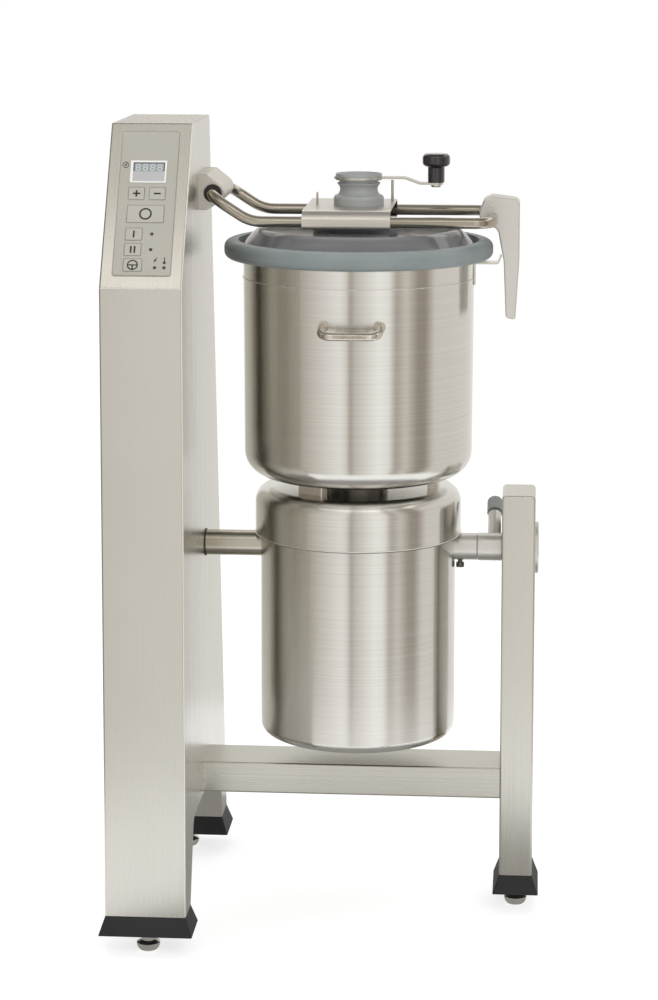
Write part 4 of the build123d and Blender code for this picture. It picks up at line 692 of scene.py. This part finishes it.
def level_sheet(name, half_width, near, far, height):
    """A level rectangle of the studio."""
    sheet = bpy.data.objects.new(name, bpy.data.meshes.new(name))
    corners = [(-half_width, near), (half_width, near), (half_width, far), (-half_width, far)]
    sheet.data.from_pydata([(x, y, height) for x, y in corners], [], [(0, 1, 2, 3)])
    bpy.context.scene.collection.objects.link(sheet)
    return sheet


floor = level_sheet("floor", half_floor, -half_floor, half_floor, 0.0)
floor_white, nodes, links, shader = blank_material("floor_white")
shader.inputs["Roughness"].default_value = 0.9
shader.inputs["Specular IOR Level"].default_value = 0.0
shader.inputs["Emission Color"].default_value = white
floor.data.materials.append(floor_white)


def seen_directly(nodes, links):
    """1 for rays that come from the camera, a mirror or glass, and 0 for the others."""
    rays = nodes.new("ShaderNodeLightPath")
    seen = rays.outputs["Is Camera Ray"]
    for also in ("Is Glossy Ray", "Is Transmission Ray"):
        larger = nodes.new("ShaderNodeMath")
        larger.operation = "MAXIMUM"
        links.new(seen, larger.inputs[0])
        links.new(rays.outputs[also], larger.inputs[1])
        seen = larger.outputs[0]
    return seen


floor_seen = seen_directly(nodes, links)
floor_glow = spread(nodes, links, floor_seen, 0.0, own_white, 0.0, 1.0)
floor_tone = two_tone(nodes, links, floor_seen, (0.94, 0.94, 0.94), (0.50, 0.50, 0.50), 0.0, 1.0)
links.new(floor_glow, shader.inputs["Emission Strength"])
links.new(floor_tone, shader.inputs["Base Color"])

world = bpy.data.worlds.new("studio")
bpy.context.scene.world = world
world.use_nodes = True
nodes, links = world.node_tree.nodes, world.node_tree.links
surround = nodes["Background"]
surround.inputs["Color"].default_value = white
level = nodes.new("ShaderNodeMapRange")
level.inputs["To Min"].default_value = ambient
level.inputs["To Max"].default_value = 1.0
links.new(seen_directly(nodes, links), level.inputs["Value"])
links.new(level.outputs["Result"], surround.inputs["Strength"])


def lamp(name, place, width, height, watts):
    """A soft rectangular lamp aimed at the machine's middle, which no metal mirrors."""
    light = bpy.data.lights.new(name, "AREA")
    light.shape = "RECTANGLE"
    light.size, light.size_y, light.energy = width, height, watts
    holder = bpy.data.objects.new(name, light)
    holder.location = place
    holder.rotation_euler = (machine_middle - Vector(place)).to_track_quat("-Z", "Y").to_euler()
    holder.visible_glossy = False
    bpy.context.scene.collection.objects.link(holder)


machine_middle = Vector((0.0, 0.0, 0.75))
lamp("key_lamp", (1.5, -3.0, 2.3), 1.4, 1.8, 42.0)
lamp("fill_lamp", (-2.6, -2.2, 1.7), 1.6, 2.0, 22.0)
lamp("top_lamp", (0.0, 0.3, 3.4), 2.4, 2.4, 26.0)

# A tent of soft boxes and dark flags round the machine, which only polished metal mirrors.
# Its level of light is the product of a share by height and a level by the turn from the
# camera's side, both in rows from which the tent is built.
black = (0.0, 0.0, 0.0, 1.0)
camera_turn = 4.3
tent_radius = 1.25
height_rows = [
    (0.002, 0.90),
    (1.20, 0.90),
    (1.50, 0.93),
    (1.62, 0.70),
    (1.95, 0.70),
    (2.03, 2.0),
    (2.32, 2.0),
    (2.42, 0.6),
    (2.7, 0.6),
]
tent_rows = [
    (-180.0, 1.00),
    (-150.0, 0.95),
    (-135.0, 0.08),
    (-90.0, 0.14),
    (-81.0, 0.20),
    (-76.0, 0.90),
    (-71.0, 0.15),
    (-64.0, 0.08),
    (-57.0, 0.55),
    (-44.0, 0.75),
    (-18.0, 1.10),
    (-12.0, 0.95),
    (-8.0, 0.50),
    (-4.0, 0.75),
    (18.0, 1.20),
    (27.0, 1.10),
    (34.0, 0.55),
    (44.0, 0.80),
    (56.0, 0.42),
    (64.0, 0.40),
    (75.0, 0.85),
    (130.0, 0.90),
    (150.0, 0.95),
    (180.0, 1.00),
]


def only_mirrored(sheet):
    """Hide a studio sheet from everything but mirrors."""
    sheet.visible_camera = sheet.visible_diffuse = False
    sheet.visible_shadow = sheet.visible_transmission = False


tent = bpy.data.objects.new("tent", bpy.data.meshes.new("tent"))
tent_points, walls, tent_levels = [], [], []
for turn, level_there in tent_rows:
    angle = radians(camera_turn + turn)
    for height, share in height_rows:
        beside, before = tent_radius * sin(angle), tent_radius * cos(angle)
        tent_points.append((mixer_axis.x + beside, -before, height))
        tent_levels.append(level_there * share)
per_row = len(height_rows)
for step in range(len(tent_rows) - 1):
    for row in range(per_row - 1):
        low = step * per_row + row
        walls.append((low, low + 1, low + per_row + 1, low + per_row))
tent.data.from_pydata(tent_points, [], walls)
tent.data.attributes.new("level", "FLOAT", "POINT").data.foreach_set("value", tent_levels)
bpy.context.scene.collection.objects.link(tent)
tent_cloth, nodes, links, shader = blank_material("tent_cloth")
shader.inputs["Base Color"].default_value = black
shader.inputs["Specular IOR Level"].default_value = 0.0
woven = nodes.new("ShaderNodeAttribute")
woven.attribute_name = "level"
links.new(woven.outputs["Fac"], shader.inputs["Emission Strength"])
warmth = two_tone(nodes, links, woven.outputs["Fac"], (1.0, 0.84, 0.68), (1.0, 0.985, 0.95), 0.15, 0.9)
links.new(warmth, shader.inputs["Emission Color"])
tent.data.materials.append(tent_cloth)
only_mirrored(tent)

# A pale sheet in front of the machine and a dim one right over it, for its upward faces to
# mirror, and a dim cloth on the floor under the vessels for their drawn bottoms.
sheet_height = 4.6
sheet_reach = 3.0
sheet_front, sheet_split, sheet_back = -5.0, -1.25, 2.5
cloth_lift = 0.003
cloth_radius = 0.62


def dim_cloth(name, level_there):
    """Cloth that glows evenly at the given level."""
    cloth, nodes, links, shader = blank_material(name)
    shader.inputs["Base Color"].default_value = black
    shader.inputs["Specular IOR Level"].default_value = 0.0
    shader.inputs["Emission Color"].default_value = (1.0, 0.97, 0.92, 1.0)
    shader.inputs["Emission Strength"].default_value = level_there
    return cloth


front_sheet = level_sheet("front_sheet", sheet_reach, sheet_front, sheet_split, sheet_height)
front_sheet.data.materials.append(dim_cloth("front_sheet_cloth", 0.8))
only_mirrored(front_sheet)
top_cloth = dim_cloth("top_sheet_cloth", 0.35)
top_sheet = level_sheet("top_sheet", sheet_reach, sheet_split, sheet_back, sheet_height)
top_sheet.data.materials.append(top_cloth)
only_mirrored(top_sheet)
under_cloth = bpy.data.objects.new("under_cloth", bpy.data.meshes.new("under_cloth"))
cloth_rim = ring_path(mixer_axis + Vector((0.0, 0.0, cloth_lift)), cloth_radius)
under_cloth.data.from_pydata(cloth_rim, [], [tuple(range(ring_steps))])
bpy.context.scene.collection.objects.link(under_cloth)
under_cloth.data.materials.append(top_cloth)
only_mirrored(under_cloth)

# The camera stands at the photograph's place, as fitted to it in pixels. The lens is shifted
# because the photograph keeps the machine's uprights nearly parallel.
focal_pixels = 2725.73
frame_height_pixels = 1000.0
sensor = 36.0
lens_shift = -0.2
camera_place = (0.3496, -4.7, 1.70)
camera_yaw, camera_pitch, camera_roll = 4.302, 7.459, 0.042
camera = bpy.data.objects.new("camera", bpy.data.cameras.new("camera"))
camera.data.sensor_width = sensor
camera.data.lens = focal_pixels / frame_height_pixels * sensor
camera.data.shift_y = lens_shift
yaw = Matrix.Rotation(radians(camera_yaw), 4, "Z")
pitch = Matrix.Rotation(radians(90.0 - camera_pitch), 4, "X")
roll = Matrix.Rotation(radians(camera_roll), 4, "Z")
camera.matrix_world = Matrix.Translation(camera_place) @ yaw @ pitch @ roll
bpy.context.scene.collection.objects.link(camera)
bpy.context.scene.camera = camera
bpy.context.scene.view_settings.view_transform = "Standard"
